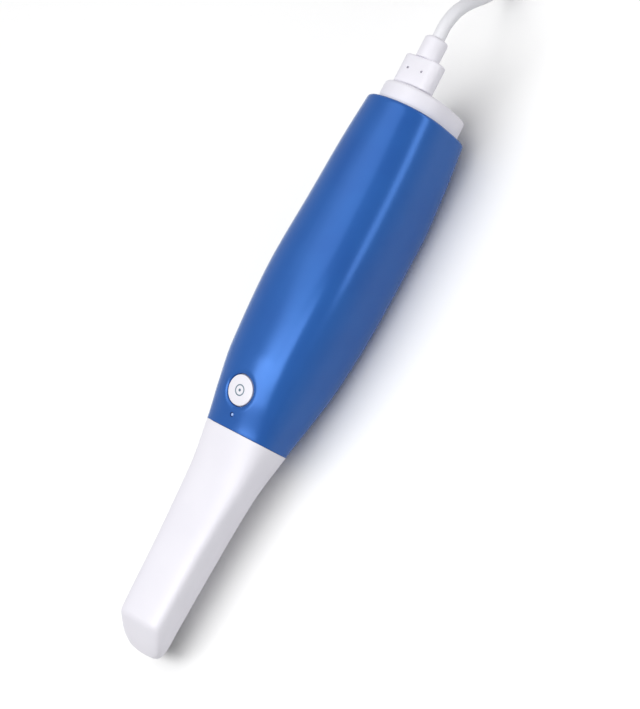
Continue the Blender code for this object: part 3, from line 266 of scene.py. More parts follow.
# %% [markdown]
# The skins of the handpiece share one law: at each place along the axis there is a width, a top, a
# bottom, and a squareness that says how boxy the outline is. A moulder's drawing gives such sections at
# a few stations, and a fair curve joins them. The curve used here never overshoots its stations, so the
# grip swells and tapers without ripples. Squareness is the power in the outline's formula: 2 would be an
# ellipse, and from 3 to 5.5 it becomes an ever squarer box with round corners. Each row below is a place
# along the axis, a width, a top, a bottom, a squareness, and how much the top and the belly are crowned.

# %% Lengths and stations
SLEEVE_LENGTH = 0.0953
HANDLE_LENGTH = 0.1444
CAP_LENGTH = 0.0083
GAP = 0.0003
SLEEVE_WALL = 0.0012
SHELL_WALL = 0.0020
SEAM = SLEEVE_LENGTH
BODY_END = SEAM + HANDLE_LENGTH
REAR = BODY_END + CAP_LENGTH
STATIONS = (
    (0.0, 0.0216, 0.0146, -0.0012, 3.8, 0.0, 0.0),
    (0.0131, 0.0222, 0.0146, -0.0012, 4.9, 0.0, 0.0),
    (SEAM * 0.435, 0.0238, 0.0146, -0.0021, 5.5, 0.0002, 0.0003),
    (SEAM * 0.774, 0.0285, 0.0149, -0.0034, 4.4, 0.0006, 0.0008),
    (SEAM, 0.0334, 0.0190, -0.0080, 3.6, 0.0015, 0.0008),
    (SEAM + HANDLE_LENGTH * 0.103, 0.0370, 0.0236, -0.0122, 3.2, 0.0020, 0.0003),
    (SEAM + HANDLE_LENGTH * 0.222, 0.0412, 0.0268, -0.0162, 3.0, 0.0020, 0.0),
    (SEAM + HANDLE_LENGTH * 0.454, 0.0440, 0.0280, -0.0196, 3.1, 0.0022, 0.0),
    (SEAM + HANDLE_LENGTH * 0.685, 0.0425, 0.0268, -0.0212, 3.2, 0.0034, 0.0),
    (SEAM + HANDLE_LENGTH * 0.846, 0.0403, 0.0262, -0.0200, 3.4, 0.0045, 0.0010),
    (BODY_END, 0.0363, 0.0252, -0.0178, 3.7, 0.0054, 0.0015),
)
PLACES, WIDTHS, TOPS, BOTTOMS, SQUARENESS, TOP_CROWNS, BOTTOM_CROWNS = zip(*STATIONS)
print("stations:", len(STATIONS), "length:", round(REAR, 4))

# %% A fair curve through the stations


def fair(x, values):
    """The value at x of a smooth curve through the stations that never overshoots them."""
    x = min(max(x, PLACES[0]), PLACES[-1])
    steps = [b - a for a, b in zip(PLACES, PLACES[1:])]
    slopes = [(b - a) / step for a, b, step in zip(values, values[1:], steps)]
    tangents = [slopes[0]]
    for before, after, step, next_step in zip(slopes, slopes[1:], steps, steps[1:]):
        near, far = 2 * next_step + step, next_step + 2 * step
        turning = before * after <= 0
        tangents.append(0.0 if turning else (near + far) / (near / before + far / after))
    tangents.append(slopes[-1])
    k = max(i for i, place in enumerate(PLACES[:-1]) if place <= x)
    t = (x - PLACES[k]) / steps[k]
    start = (1 + 2 * t) * (1 - t) ** 2 * values[k] + t * (1 - t) ** 2 * steps[k] * tangents[k]
    end = t * t * (3 - 2 * t) * values[k + 1] + t * t * (t - 1) * steps[k] * tangents[k + 1]
    return start + end


print("width at the middle of the grip:", round(fair(0.16, WIDTHS), 4))

# %% [markdown]
# The tip ends in a bevel of 45 degrees, the back of the mirror's seat, and seen from above its end is
# rounded like a spatula. On the real sleeve no edge there is sharp. Two heights meet at the bevel's upper
# crease, so a soft minimum blends them over about a millimetre and a half. The belly is cut flat where
# it would pass the table.

# %% One section
SECTION_POINTS = 192
TIP_FACE_TOP = 0.0019
TIP_CORNER_WIDTH = 0.0049
TIP_CORNER_LENGTH = 0.0135
CREASE_BLEND = 0.0016


def belly_floor(x):
    """The table's height in the handpiece's own frame."""
    return -(AXIS_HEIGHT + x * math.sin(rest_tilt)) / math.cos(rest_tilt)


def crest(x):
    """The top of the outside at x, without the bevel."""
    return fair(x, TOPS)


def soft_least(a, b, blend):
    """The lesser of two values, blended where they are close."""
    near = max(blend - abs(a - b), 0.0) / blend
    return min(a, b) - near * near * blend / 4


def corner_pull(x, inset):
    """How far the rounded corners of the tip's end, seen from above, draw its side in at x."""
    width = max(TIP_CORNER_WIDTH - inset, GAP)
    left = min(max((TIP_CORNER_LENGTH - x) / (TIP_CORNER_LENGTH - inset), 0.0), 1.0)
    return width * (1 - math.sqrt(1 - left**2))


def section(x, inset=0.0, at=None):
    """The outline at x, drawn in by inset, as a ring of points placed at x or at another place."""
    half = fair(x, WIDTHS) / 2 - inset - corner_pull(x, inset)
    top = soft_least(crest(x) - inset, x + TIP_FACE_TOP - inset * math.sqrt(2), CREASE_BLEND)
    bottom = max(fair(x, BOTTOMS), belly_floor(x)) + inset
    power = 2 / fair(x, SQUARENESS)
    room = max(top - bottom, GAP)
    top_crown = min(fair(x, TOP_CROWNS), room / 4)
    bottom_crown = min(fair(x, BOTTOM_CROWNS), room / 4)
    middle = (top - top_crown + bottom + bottom_crown) / 2
    tallest = math.sin(math.pi / 2 - math.pi / SECTION_POINTS) ** power
    ring = []
    for k in range(SECTION_POINTS):
        angle = 2 * math.pi * (k + 0.5) / SECTION_POINTS
        side = math.copysign(abs(math.cos(angle)) ** power, math.cos(angle))
        rise = abs(math.sin(angle)) ** power / tallest
        crown = top_crown if math.sin(angle) > 0 else bottom_crown
        reach = (top - top_crown - middle) * rise + crown * rise * (1 - side**2)
        height = middle + math.copysign(reach, math.sin(angle))
        ring.append(Vector((x if at is None else at, half * side, height)))
    return ring


print("highest point of the widest section:", round(max(p.z for p in section(0.161)), 4))

# %% [markdown]
# Every fine piece is made the same way: rings of points, skinned with quads, closed at the ends or into
# a loop. A moulded edge is never quite sharp, so each rim is a quarter round of several rings. A flat
# end gets one more ring inside it, which keeps its shading flat. Normals are smooth, and only real
# corners above 32 degrees stay hard.

# %% Skinning rings
SHARP_ANGLE = math.radians(32)
CAP_RING = 0.86


def skin(rings, closed=False, caps=(True, True)):
    """A bmesh skinned over rings of equal length, capped, open, or closed into a loop of rings."""
    made = bmesh.new()
    loops = [[made.verts.new(point) for point in ring] for ring in rings]
    pairs = list(zip(loops, loops[1:]))
    if closed:
        pairs.append((loops[-1], loops[0]))
    for near, far in pairs:
        for k in range(len(near)):
            n = (k + 1) % len(near)
            made.faces.new((near[k], near[n], far[n], far[k]))
    for loop, wanted in ((loops[0], caps[0]), (loops[-1], caps[1])):
        if closed or not wanted:
            continue
        centre = sum((vert.co for vert in loop), Vector()) / len(loop)
        inner = [made.verts.new(centre + (vert.co - centre) * CAP_RING) for vert in loop]
        for k in range(len(loop)):
            n = (k + 1) % len(loop)
            made.faces.new((loop[k], loop[n], inner[n], inner[k]))
        made.faces.new(inner)
    return made


def smooth(mesh):
    """Shade a mesh smooth and keep its real corners hard."""
    mesh.shade_smooth()
    mesh.set_sharp_from_angle(angle=SHARP_ANGLE)


def linked(name, made, placed=Matrix()):
    """An object in the scene from a bmesh, its mesh moved to its place."""
    mesh = bpy.data.meshes.new(name)
    made.to_mesh(mesh)
    made.free()
    mesh.transform(placed)
    thing = bpy.data.objects.new(name, mesh)
    bpy.context.scene.collection.objects.link(thing)
    return thing


def piece(name, made, body, placed=to_world):
    """A shown object from a bmesh, its faces turned outward, riding on a body."""
    bmesh.ops.recalc_face_normals(made, faces=made.faces)
    thing = linked(name, made, placed)
    smooth(thing.data)
    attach(thing, body)
    return thing


def edge_round(place, radius, inset=0.0, inward=1, steps=6):
    """Pairs of place and inset for a quarter round that ends a wall at a place along the axis."""
    turns = [math.pi / 2 * k / steps for k in range(steps + 1)]
    return [
        (place + inward * radius * (1 - math.sin(turn)), inset + radius * (1 - math.cos(turn)))
        for turn in reversed(turns)
    ]


def spread(start, end, step):
    """Places from start to end, both left out, at most a step apart."""
    count = max(1, math.ceil(abs(end - start) / step))
    return [start + (end - start) * k / count for k in range(1, count)]


print("rings of a quarter round:", len(edge_round(0.0, 0.001)))

# %% [markdown]
# Holes come from a boolean with a cutter of its own, as a mould's pin would leave them. The cutter is
# turned or drawn like everything else, the result is read off the modifier, and the cutter goes away, so
# the piece is a plain mesh in the end. Round and boxy outlines are drawn here too, once for all pieces.

# %% Cutting, turning and outlines


def cut(thing, cutter_bmesh, placed=to_world):
    """Cut a bmesh out of a piece and keep the result as its mesh."""
    bmesh.ops.recalc_face_normals(cutter_bmesh, faces=cutter_bmesh.faces)
    cutter = linked("cutter", cutter_bmesh, placed)
    change = thing.modifiers.new("cut", "BOOLEAN")
    change.operation = "DIFFERENCE"
    change.solver = "EXACT"
    change.object = cutter
    seen = thing.evaluated_get(bpy.context.evaluated_depsgraph_get())
    result = bpy.data.meshes.new_from_object(seen)
    thing.modifiers.clear()
    thing.data = result
    bpy.data.objects.remove(cutter)
    smooth(result)


def circle(radius, sides):
    """The corners of a circle with so many sides, as pairs around its centre."""
    angles = [2 * math.pi * k / sides for k in range(sides)]
    return [(radius * math.cos(angle), radius * math.sin(angle)) for angle in angles]


def turned(profile, sides, centre=(0.0, 0.0)):
    """A bmesh turned round z from pairs of radius and height, whose ends lie on the axis."""
    rings = [[Vector((a, b, height)) for a, b in circle(radius, sides)] for radius, height in profile[1:-1]]
    made = skin(rings, caps=(False, False))
    made.verts.ensure_lookup_table()
    for first, height in ((0, profile[0][1]), (len(rings) * sides - sides, profile[-1][1])):
        hub = made.verts.new((0, 0, height))
        made.verts.ensure_lookup_table()
        for k in range(sides):
            made.faces.new((made.verts[first + k], made.verts[first + (k + 1) % sides], hub))
    bmesh.ops.translate(made, verts=made.verts, vec=(*centre, 0))
    return made


def rod(radius, top, bottom):
    """The profile of a plain rod, which drills a round hole."""
    return [(0, top), (radius, top), (radius, bottom), (0, bottom)]


def rounded_outline(width, height, corner, steps=10):
    """A rectangle with round corners, as pairs around its centre."""
    outline = []
    for k, (a_side, b_side) in enumerate(((1, 1), (-1, 1), (-1, -1), (1, -1))):
        for step in range(steps + 1):
            angle = math.pi / 2 * (k + step / steps)
            a = a_side * (width / 2 - corner) + corner * math.cos(angle)
            outline.append((a, b_side * (height / 2 - corner) + corner * math.sin(angle)))
    return outline


def stood(outline, x, z):
    """An outline stood up across the axis at x, its centre raised to z."""
    return [Vector((x, a, b + z)) for a, b in outline]


print("points of a rounded outline:", len(rounded_outline(0.01, 0.01, 0.002)))

# %% [markdown]
# The sleeve is the part that goes into the mouth. It is moulded in white, slides off for sterilising,
# and is a hollow box with a wall of 1.2 mm, open at the rear and at the scan window underneath. Its skin
# runs from the rounded end back to the seam, turns in over the rim, and comes back as the inner wall.
# The end itself is slightly bowed, seen from above, so its rings are drawn back a little at the sides.

# %% Tip sleeve
SCAN_WINDOW_START = 0.0034
SCAN_WINDOW_LENGTH = 0.0142
SCAN_WINDOW_WIDTH = 0.0132
SCAN_WINDOW_CORNER = 0.0016
END_ROUND = 0.0007
RIM_ROUND = 0.00012
SEAM_GAP = 0.0001
BOW_REACH = 0.0080
BOW_DEPTH = 0.0009
BOW_HALF_WIDTH = 0.0060
BOW_LIMIT = 1.8
BOW_SIDEWAYS = 0.6
BEVEL_BEYOND = 0.004
WINDOW_CUT_WALLS = 1.6
END_WALL = SLEEVE_WALL + 0.001
FINE_STEP = 0.0004
SKIN_STEP = 0.0010
INNER_STEP = 0.0020


def bowed(point):
    """A point of the outside, drawn back near the tip's end, more so towards the sides."""
    near = max(1 - point.x / BOW_REACH, 0.0)
    sideways = min((point.y / BOW_HALF_WIDTH) ** 2, BOW_LIMIT)
    return point + Vector((BOW_DEPTH * near * near * (1 + BOW_SIDEWAYS * sideways), 0, 0))


sleeve_end = SEAM - SEAM_GAP / 2
bevel_end = crest(0) - TIP_FACE_TOP + BEVEL_BEYOND
outer = edge_round(0.0, END_ROUND)
outer += [(x, 0.0) for x in spread(END_ROUND, bevel_end, FINE_STEP)]
outer += [(x, 0.0) for x in spread(bevel_end, sleeve_end - RIM_ROUND, SKIN_STEP)]
outer += reversed(edge_round(sleeve_end, RIM_ROUND, inward=-1))
inner = [(x, SLEEVE_WALL) for x in spread(sleeve_end + SKIN_STEP, END_WALL, INNER_STEP)]
inner = [(sleeve_end, SLEEVE_WALL), *inner[1:], (END_WALL, SLEEVE_WALL)]
rings = [[bowed(point) for point in section(x, inset)] for x, inset in outer]
rings += [section(x, inset) for x, inset in inner]
sleeve = piece("sleeve", skin(rings), "tip")
window_middle = SCAN_WINDOW_START + SCAN_WINDOW_LENGTH / 2
window_outline = rounded_outline(SCAN_WINDOW_LENGTH, SCAN_WINDOW_WIDTH, SCAN_WINDOW_CORNER)
window_heights = (BOTTOMS[0] - SLEEVE_WALL, BOTTOMS[0] + WINDOW_CUT_WALLS * SLEEVE_WALL)
cut(sleeve, skin([[Vector((a + window_middle, b, z)) for a, b in window_outline] for z in window_heights]))
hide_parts("tip_sleeve")
print("sleeve faces:", len(sleeve.data.polygons))

# %% [markdown]
# The grip is one blue moulding. Its rear rim is rounded and holds the white cap a little inward. On top,
# in front, it has two holes: a large one for the button, which gets its rim in the next step, and a
# pinhole for the indicator. The skin is crowned there, so a ray cast onto the uncut grip tells later
# pieces how high it stands at any place.

# %% Grip shell
CAP_INSET = 0.0028
LIP_LENGTH = 0.0025
REAR_ROUND = 0.0014
BUTTON_X = SEAM + 0.0153
BUTTON_RADIUS = 0.0062
BUTTON_ROOM = 0.00035
RIM_WIDTH = 0.00235
RIM_DEPTH = 0.0008
FLANGE_TOP = 0.0034
INDICATOR_FORWARD = 0.0102
INDICATOR_RADIUS = 0.00065

press = Vector(next(joint["axis"] for joint in frame["joints"] if joint["name"] == "button_press"))
outward = -press.normalized()
button_place = to_world @ Vector((BUTTON_X, 0, crest(BUTTON_X)))
button_axes = Matrix(((outward.z, 0, -outward.x), (0, 1, 0), outward)).transposed().to_4x4()
button_frame = Matrix.Translation(button_place) @ button_axes

shell_start = SEAM + SEAM_GAP / 2
lip = BODY_END - LIP_LENGTH
outer = edge_round(shell_start, RIM_ROUND)
outer += [(x, 0.0) for x in spread(shell_start + RIM_ROUND, BODY_END - REAR_ROUND, SKIN_STEP)]
outer += reversed(edge_round(BODY_END, REAR_ROUND, inward=-1, steps=12))
inner = [(BODY_END, CAP_INSET), (lip, CAP_INSET), (lip, SHELL_WALL)]
inner += [(x, SHELL_WALL) for x in spread(lip, shell_start, 2 * INNER_STEP)]
inner += [(shell_start, SHELL_WALL)]
rings = [section(x, inset) for x, inset in outer + inner]
grip = piece("grip_shell", skin(rings, closed=True), "handpiece")
print("grip faces:", len(grip.data.polygons))

# %% Holes in the grip
hole = BUTTON_RADIUS + BUTTON_ROOM
rim_outside = hole + RIM_WIDTH
skin_tree = BVHTree.FromObject(grip, bpy.context.evaluated_depsgraph_get())


def skin_height(x, y):
    """The height of the grip's skin above a point of the button's own plane."""
    hit = skin_tree.ray_cast(button_frame @ Vector((x, y, 2 * FLANGE_TOP)), -outward)[0]
    return (button_frame.inverted() @ hit).z


HOLE_SIDES = 128
PINHOLE_SIDES = 32
drill_ends = (FLANGE_TOP, -2 * FLANGE_TOP)
pinhole_place = (-INDICATOR_FORWARD, 0.0)
cut(grip, turned(rod(rim_outside, *drill_ends), HOLE_SIDES), button_frame)
pinhole = rod(INDICATOR_RADIUS + GAP, *drill_ends)
cut(grip, turned(pinhole, PINHOLE_SIDES, pinhole_place), button_frame)
print("grip faces with its holes:", len(grip.data.polygons))

# %% [markdown]
# The button's hole has a shallow rolled rim. A turned cutter would leave it uneven, because the skin is
# crowned. The rim is a ring of its own instead: it starts on the skin all round, bends over gently into
# the hole, and goes down as the hole's wall. It becomes part of the grip's mesh.

# %% Rolled rim
ROLL_ANGLE = math.radians(84)
ROLL_STEPS = 8


def level_ring(radius, height):
    """A ring of points at one height in the button's frame."""
    return [Vector((x, y, height)) for x, y in circle(radius, HOLE_SIDES)]


def ring_below_skin(radius, depth):
    """A ring that follows the grip's crowned skin, a depth below it."""
    return [Vector((x, y, skin_height(x, y) - depth)) for x, y, _ in level_ring(radius, 0)]


turns = [ROLL_ANGLE * k / ROLL_STEPS for k in range(ROLL_STEPS + 1)]
rolled = [(rim_outside - RIM_WIDTH * math.sin(t), RIM_DEPTH * (1 - math.cos(t))) for t in turns]
rolled += [(hole, SHELL_WALL), (rim_outside, SHELL_WALL)]
rim = skin([ring_below_skin(radius, depth) for radius, depth in rolled], closed=True)
bmesh.ops.recalc_face_normals(rim, faces=rim.faces)
bmesh.ops.transform(rim, matrix=button_frame, verts=rim.verts)
rim.from_mesh(grip.data)
rim.to_mesh(grip.data)
rim.free()
smooth(grip.data)
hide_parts("body_shell")
print("grip faces with its rim:", len(grip.data.polygons))

# %% [markdown]
# The cap closes the rear. It is white, sits in from the blue rim by a few millimetres, and carries the
# lead's socket. Its flange is held inside the shell's lip, so it can't fall out. Only the soft round of
# its outer edge and the flat back face are seen, and the socket shows once the plug is pulled.

# %% Rear cap
CAP_WALL = 0.0020
CAP_ROUND = 0.0016
CAP_FLANGE_LENGTH = 0.0022
REAR_GASKET_LENGTH = 0.0007
SOCKET_Z = 0.0142
SOCKET_WIDTH = 0.0106
SOCKET_HEIGHT = 0.0046
TUBE_CORNER = 0.4

flange_end = lip - REAR_GASKET_LENGTH - 2 * GAP
flange_start = flange_end - CAP_FLANGE_LENGTH
body_inset = CAP_INSET + GAP
inside = body_inset + CAP_WALL
rings = [section(BODY_END, inside, x) for x in (REAR - CAP_WALL, flange_start)]
rings += [section(x, SHELL_WALL + GAP) for x in (flange_start, flange_end)]
rings.append(section(BODY_END, body_inset, flange_end))
round_off = reversed(edge_round(REAR, CAP_ROUND, body_inset, inward=-1, steps=10))
rings += [section(BODY_END, inset, x) for x, inset in round_off]
cap = piece("end_cap", skin(rings), "handpiece")
corner = SOCKET_HEIGHT * TUBE_CORNER + GAP
outline = rounded_outline(SOCKET_WIDTH + 2 * GAP, SOCKET_HEIGHT + 2 * GAP, corner)
cut(cap, skin([stood(outline, x, SOCKET_Z) for x in (REAR - 2 * CAP_WALL, REAR + GAP)]))
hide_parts("rear_cap")
print("cap faces:", len(cap.data.polygons))

# %% [markdown]
# The button is a white disc that follows the crown of the grip, sunk a little below it. Its skirt goes
# down to a flange under the shell, and a short stem presses the switch. The disc's corner is eased.
# The light pipe in front of it is a small milky rod, nearly flush with the skin.

# %% Button and light pipe
BUTTON_SUNK = 0.0004
FLANGE_RADIUS = 0.0077
FLANGE_THICKNESS = 0.0008
BUTTON_STEM = 0.0006
PLUNGER_RADIUS = 0.0015
SHOULDER = 0.0003
FACE_RINGS = 14
SHOULDER_RINGS = 6
PIPE_SUNK = 0.0001

flange_bottom = -FLANGE_TOP - FLANGE_THICKNESS
face = BUTTON_RADIUS - SHOULDER
stops = [(face * (k + 0.5) / FACE_RINGS, BUTTON_SUNK) for k in range(FACE_RINGS)]
stops.append((face, BUTTON_SUNK))
for k in range(1, SHOULDER_RINGS + 1):
    turn = math.pi / 2 * k / SHOULDER_RINGS
    stops.append((face + SHOULDER * math.sin(turn), BUTTON_SUNK + SHOULDER * (1 - math.cos(turn))))
rings = [ring_below_skin(radius, depth) for radius, depth in stops]
rings += [level_ring(BUTTON_RADIUS, -FLANGE_TOP)]
rings += [level_ring(FLANGE_RADIUS, height) for height in (-FLANGE_TOP, flange_bottom)]
rings += [level_ring(PLUNGER_RADIUS, height) for height in (flange_bottom, flange_bottom - BUTTON_STEM)]
button = piece("button", skin(rings), "button", button_frame)
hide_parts("button_cap")

pipe_top = skin_height(-INDICATOR_FORWARD, 0) - PIPE_SUNK
into_button_frame = button_frame.inverted()
pipe_low = min((into_button_frame @ vertex.co).z for vertex in nodes["light_pipe"].data.vertices)
domed = ((0, 0), (0.5, 0.06), (0.85, 0.2), (1, 0.5))
profile = [(INDICATOR_RADIUS * out, pipe_top - INDICATOR_RADIUS * down) for out, down in domed]
profile += [(INDICATOR_RADIUS, pipe_low), (0, pipe_low)]
pipe = turned(profile, PINHOLE_SIDES, pinhole_place)
pipe = piece("indicator", pipe, "handpiece", button_frame)
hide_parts("light_pipe")

# %% [markdown]
# The plug pushes into the cap. Its housing is a small rounded block with two dimples on top, and a
# collar, slightly tapered, holds the lead behind it. Soft edges are what make such a piece read as
# moulded, so both get several rings at each end.

# %% Plug housing and collar
PLUG_LENGTH = 0.0126
PLUG_WIDTH = 0.0182
PLUG_HEIGHT = 0.0088
PLUG_CORNER = 0.0040
PLUG_EDGE = 0.0009
PIN_HOLE_RADIUS = 0.00055
PIN_HOLE_DEPTH = 0.0014
PIN_HOLE_SPACING = 0.0071
PIN_HOLE_FROM_CAP = 0.0070
PIN_HOLE_SIDES = 24
LATHE_SIDES = 72
NECK_RADIUS = 0.00495
NECK_LENGTH = 0.0093
NECK_ROUND = 0.0013


def block(x0, x1, width, height, corner, edge, z):
    """Rings of a rounded block along the axis, its ends eased by a quarter round."""
    stops = edge_round(x0, edge) + list(reversed(edge_round(x1, edge, inward=-1)))
    rings = []
    for x, inset in stops:
        outline = rounded_outline(width - 2 * inset, height - 2 * inset, max(corner - inset, GAP))
        rings.append(stood(outline, x, z))
    return rings


def lathe_rings(stops, z):
    """Rings of a round piece along the axis, from pairs of place and radius."""
    return [stood(circle(radius, LATHE_SIDES), x, z) for x, radius in stops]


plug_face = REAR + GAP
plug_end = plug_face + PLUG_LENGTH
rings = block(plug_face, plug_end, PLUG_WIDTH, PLUG_HEIGHT, PLUG_CORNER, PLUG_EDGE, SOCKET_Z)
plug = piece("plug", skin(rings), "cable")
plug_top = SOCKET_Z + PLUG_HEIGHT / 2
dimple = rod(PIN_HOLE_RADIUS, plug_top + GAP, plug_top - PIN_HOLE_DEPTH)
for side in (-1, 1):
    place = (REAR + PIN_HOLE_FROM_CAP, side * PIN_HOLE_SPACING / 2)
    cut(plug, turned(dimple, PIN_HOLE_SIDES, place))
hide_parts("plug_housing")

neck_start = plug_end
neck_end = plug_end + GAP + NECK_LENGTH
stops = edge_round(neck_start, GAP) + edge_round(neck_end, NECK_ROUND, inward=-1)[::-1]
stops = [(x, NECK_RADIUS - inset) for x, inset in stops]
collar = piece("plug_collar", skin(lathe_rings(stops, SOCKET_Z)), "cable")
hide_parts("plug_neck")
print("lead leaves the collar at", [round(v, 4) for v in to_world @ Vector((neck_end, 0, SOCKET_Z))])

# %% [markdown]
# A woven strap with a hook-and-loop end holds the hank. It is a flat band that goes round all turns and
# closes on itself: its free end lies on the outside as a second layer and ends in a round tongue. Both
# layers are built as thin closed skins, so the strap has real edges.

# %% Strap round the hank
TIE_THICKNESS = 0.0012
TIE_CORNER = 0.0022
BAND = TIE_THICKNESS - GAP
BAND_EDGE = 0.00035
TONGUE_LENGTH = 0.0200
TONGUE_START = -0.0120
TONGUE_INSET = 0.0004
TONGUE_STEPS = 24
TONGUE_BEVEL = 0.96
TONGUE_LIFT = 0.00002
TONGUE_TIP = 0.0003
hank_half_width = HANK_RADIUS + HANK_PITCH
hank_height = 4 * HANK_PITCH
tie_middle = HANK_BOTTOM + hank_height / 2


def strap_ring(x, out):
    """The strap's outline across the hank at x, drawn outward by out."""
    width, height = 2 * (hank_half_width + GAP + out), hank_height + 2 * (GAP + out)
    return stood(rounded_outline(width, height, TIE_CORNER + out, steps=12), x, tie_middle)


tie_end = TIE_START + TIE_WIDTH
band_stops = [(TIE_START + BAND_EDGE, BAND), (tie_end - BAND_EDGE, BAND), (tie_end, BAND - BAND_EDGE)]
band_stops += [(tie_end, 0.0), (TIE_START, 0.0), (TIE_START, BAND - BAND_EDGE)]
band = skin([strap_ring(x, out) for x, out in band_stops], closed=True)

half = TIE_WIDTH / 2 - TONGUE_INSET
layer = tie_middle + hank_height / 2 + GAP + BAND
low, high = layer + TONGUE_LIFT, layer + GAP
x = TIE_START + TIE_WIDTH / 2
tongue_rings = []
for k in range(TONGUE_STEPS + 1):
    y = TONGUE_START + TONGUE_LENGTH * k / TONGUE_STEPS
    left = TONGUE_LENGTH * (TONGUE_STEPS - k) / TONGUE_STEPS
    reach = half * math.sqrt(1 - max(0.0, 1 - left / half) ** 2) if left > 0 else TONGUE_TIP
    upper = reach * TONGUE_BEVEL
    corners = ((x - reach, low), (x + reach, low), (x + upper, high), (x - upper, high))
    tongue_rings.append([Vector((place, y, height)) for place, height in corners])
tongue = skin(tongue_rings)
tongue_mesh = bpy.data.meshes.new("tongue")
tongue.to_mesh(tongue_mesh)
tongue.free()
band.from_mesh(tongue_mesh)
strap = piece("strap", band, "cable", Matrix())
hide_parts("cable_tie")
print("strap faces:", len(strap.data.polygons))

# %% [markdown]
# At its far end the lead goes into a computer's port. A ribbed sleeve, thin at the lead and thick at the
# housing, keeps it from kinking there. Ribs are turned grooves. The housing has eased edges and a few
# shallow grip lines on its flat sides, and the contact shell in front is a bent steel tube.

# %% Far plug
END_RELIEF_LENGTH = 0.0140
END_RELIEF_RADIUS = 0.0034
END_PLUG_LENGTH = 0.0220
END_PLUG_WIDTH = 0.0124
END_PLUG_THICKNESS = 0.0068
END_PLUG_CORNER = 0.0026
END_PLUG_EDGE = 0.0008
END_SHELL_LENGTH = 0.0066
END_SHELL_WIDTH = 0.0083
END_SHELL_HEIGHT = 0.0025
END_SHELL_WALL = 0.0004
RIB_COUNT = 7
RIB_DEPTH = 0.00045
RIB_STEPS = 84
RIBS_FROM = 0.04
RIBS_TO = 0.93
RIBS_FADE = 0.05

aside = Matrix.Translation((0, tail_y, 0))
relief_start = tail_end + GAP
relief_end = relief_start + END_RELIEF_LENGTH
stops = []
for k in range(RIB_STEPS + 1):
    share = k / RIB_STEPS
    radius = CORD_DIAMETER / 2 + (END_RELIEF_RADIUS - CORD_DIAMETER / 2) * share
    rib = 0.5 - 0.5 * math.cos(2 * math.pi * RIB_COUNT * share)
    in_ribs = ease((share - RIBS_FROM) / RIBS_FADE) * ease((RIBS_TO - share) / RIBS_FADE)
    radius -= RIB_DEPTH * in_ribs * (1 - rib) ** 3
    stops.append((relief_start + END_RELIEF_LENGTH * share, radius))
relief = piece("far_relief", skin(lathe_rings(stops, END_PLUG_HEIGHT)), "cable", aside)
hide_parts("end_plug_relief")
print("relief faces:", len(relief.data.polygons))

# %% Far plug housing and contact
LINE_COUNT = 4
LINE_START = 0.0050
LINE_PITCH = 0.0016
LINE_HALF = 0.0032
LINE_SECTION = (0.0006, 0.0005, 0.0002, 3)

far_start = relief_end + GAP
far_end = far_start + END_PLUG_LENGTH
far_size = (END_PLUG_WIDTH, END_PLUG_THICKNESS, END_PLUG_CORNER, END_PLUG_EDGE, END_PLUG_HEIGHT)
far_plug = piece("far_plug", skin(block(far_start, far_end, *far_size)), "cable", aside)
far_top = END_PLUG_HEIGHT + END_PLUG_THICKNESS / 2
line = rounded_outline(*LINE_SECTION)
for k in range(LINE_COUNT):
    for level in (far_top, far_top - END_PLUG_THICKNESS):
        x = far_start + LINE_START + LINE_PITCH * k
        bar = [[Vector((a + x, y, b + level)) for a, b in line] for y in (-LINE_HALF, LINE_HALF)]
        cut(far_plug, skin(bar), aside)
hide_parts("end_plug_housing")

shell_ends = (far_end + GAP, far_end + GAP + END_SHELL_LENGTH)
corner = END_SHELL_HEIGHT * TUBE_CORNER
size = (END_SHELL_WIDTH, END_SHELL_HEIGHT, corner)
bore = (size[0] - 2 * END_SHELL_WALL, size[1] - 2 * END_SHELL_WALL, corner - END_SHELL_WALL)
stops = zip((*shell_ends, *reversed(shell_ends)), (size, size, bore, bore))
rings = [stood(rounded_outline(*edges), x, END_PLUG_HEIGHT) for x, edges in stops]
contact = piece("far_contact", skin(rings, closed=True), "cable", aside)
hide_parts("end_plug_shell")
print("far plug from", round(far_start, 4), "to", round(shell_ends[1], 4))

# %% [markdown]
# With every piece on it made, only the lead's real length is printed here.

# %% The lead's length
print("the lead is 2 m long")

# %% [markdown]
# A finish is a small graph of nodes. Written as sums and products of wires it reads like the formula that
# it is, so one class wraps a socket and gives it arithmetic, and one method adds any other node. The
# same method serves the floor and the sky at the end.

# %% Wires


class Wire:
    """A node's output, with the arithmetic that the finishes use."""

    def __init__(self, graph, socket):
        self.graph = graph
        self.socket = socket

    def combine(self, operation, first, second):
        """A Math node on two values, of which either may be a plain number."""
        return self.graph.node("Math", {"operation": operation}, {0: first, 1: second})

    def __add__(self, other):
        return self.combine("ADD", self, other)

    __radd__ = __add__

    def __sub__(self, other):
        return self.combine("SUBTRACT", self, other)

    def __rsub__(self, other):
        return self.combine("SUBTRACT", other, self)

    def __mul__(self, other):
        return self.combine("MULTIPLY", self, other)

    __rmul__ = __mul__

    def __pow__(self, other):
        return self.combine("POWER", self, other)


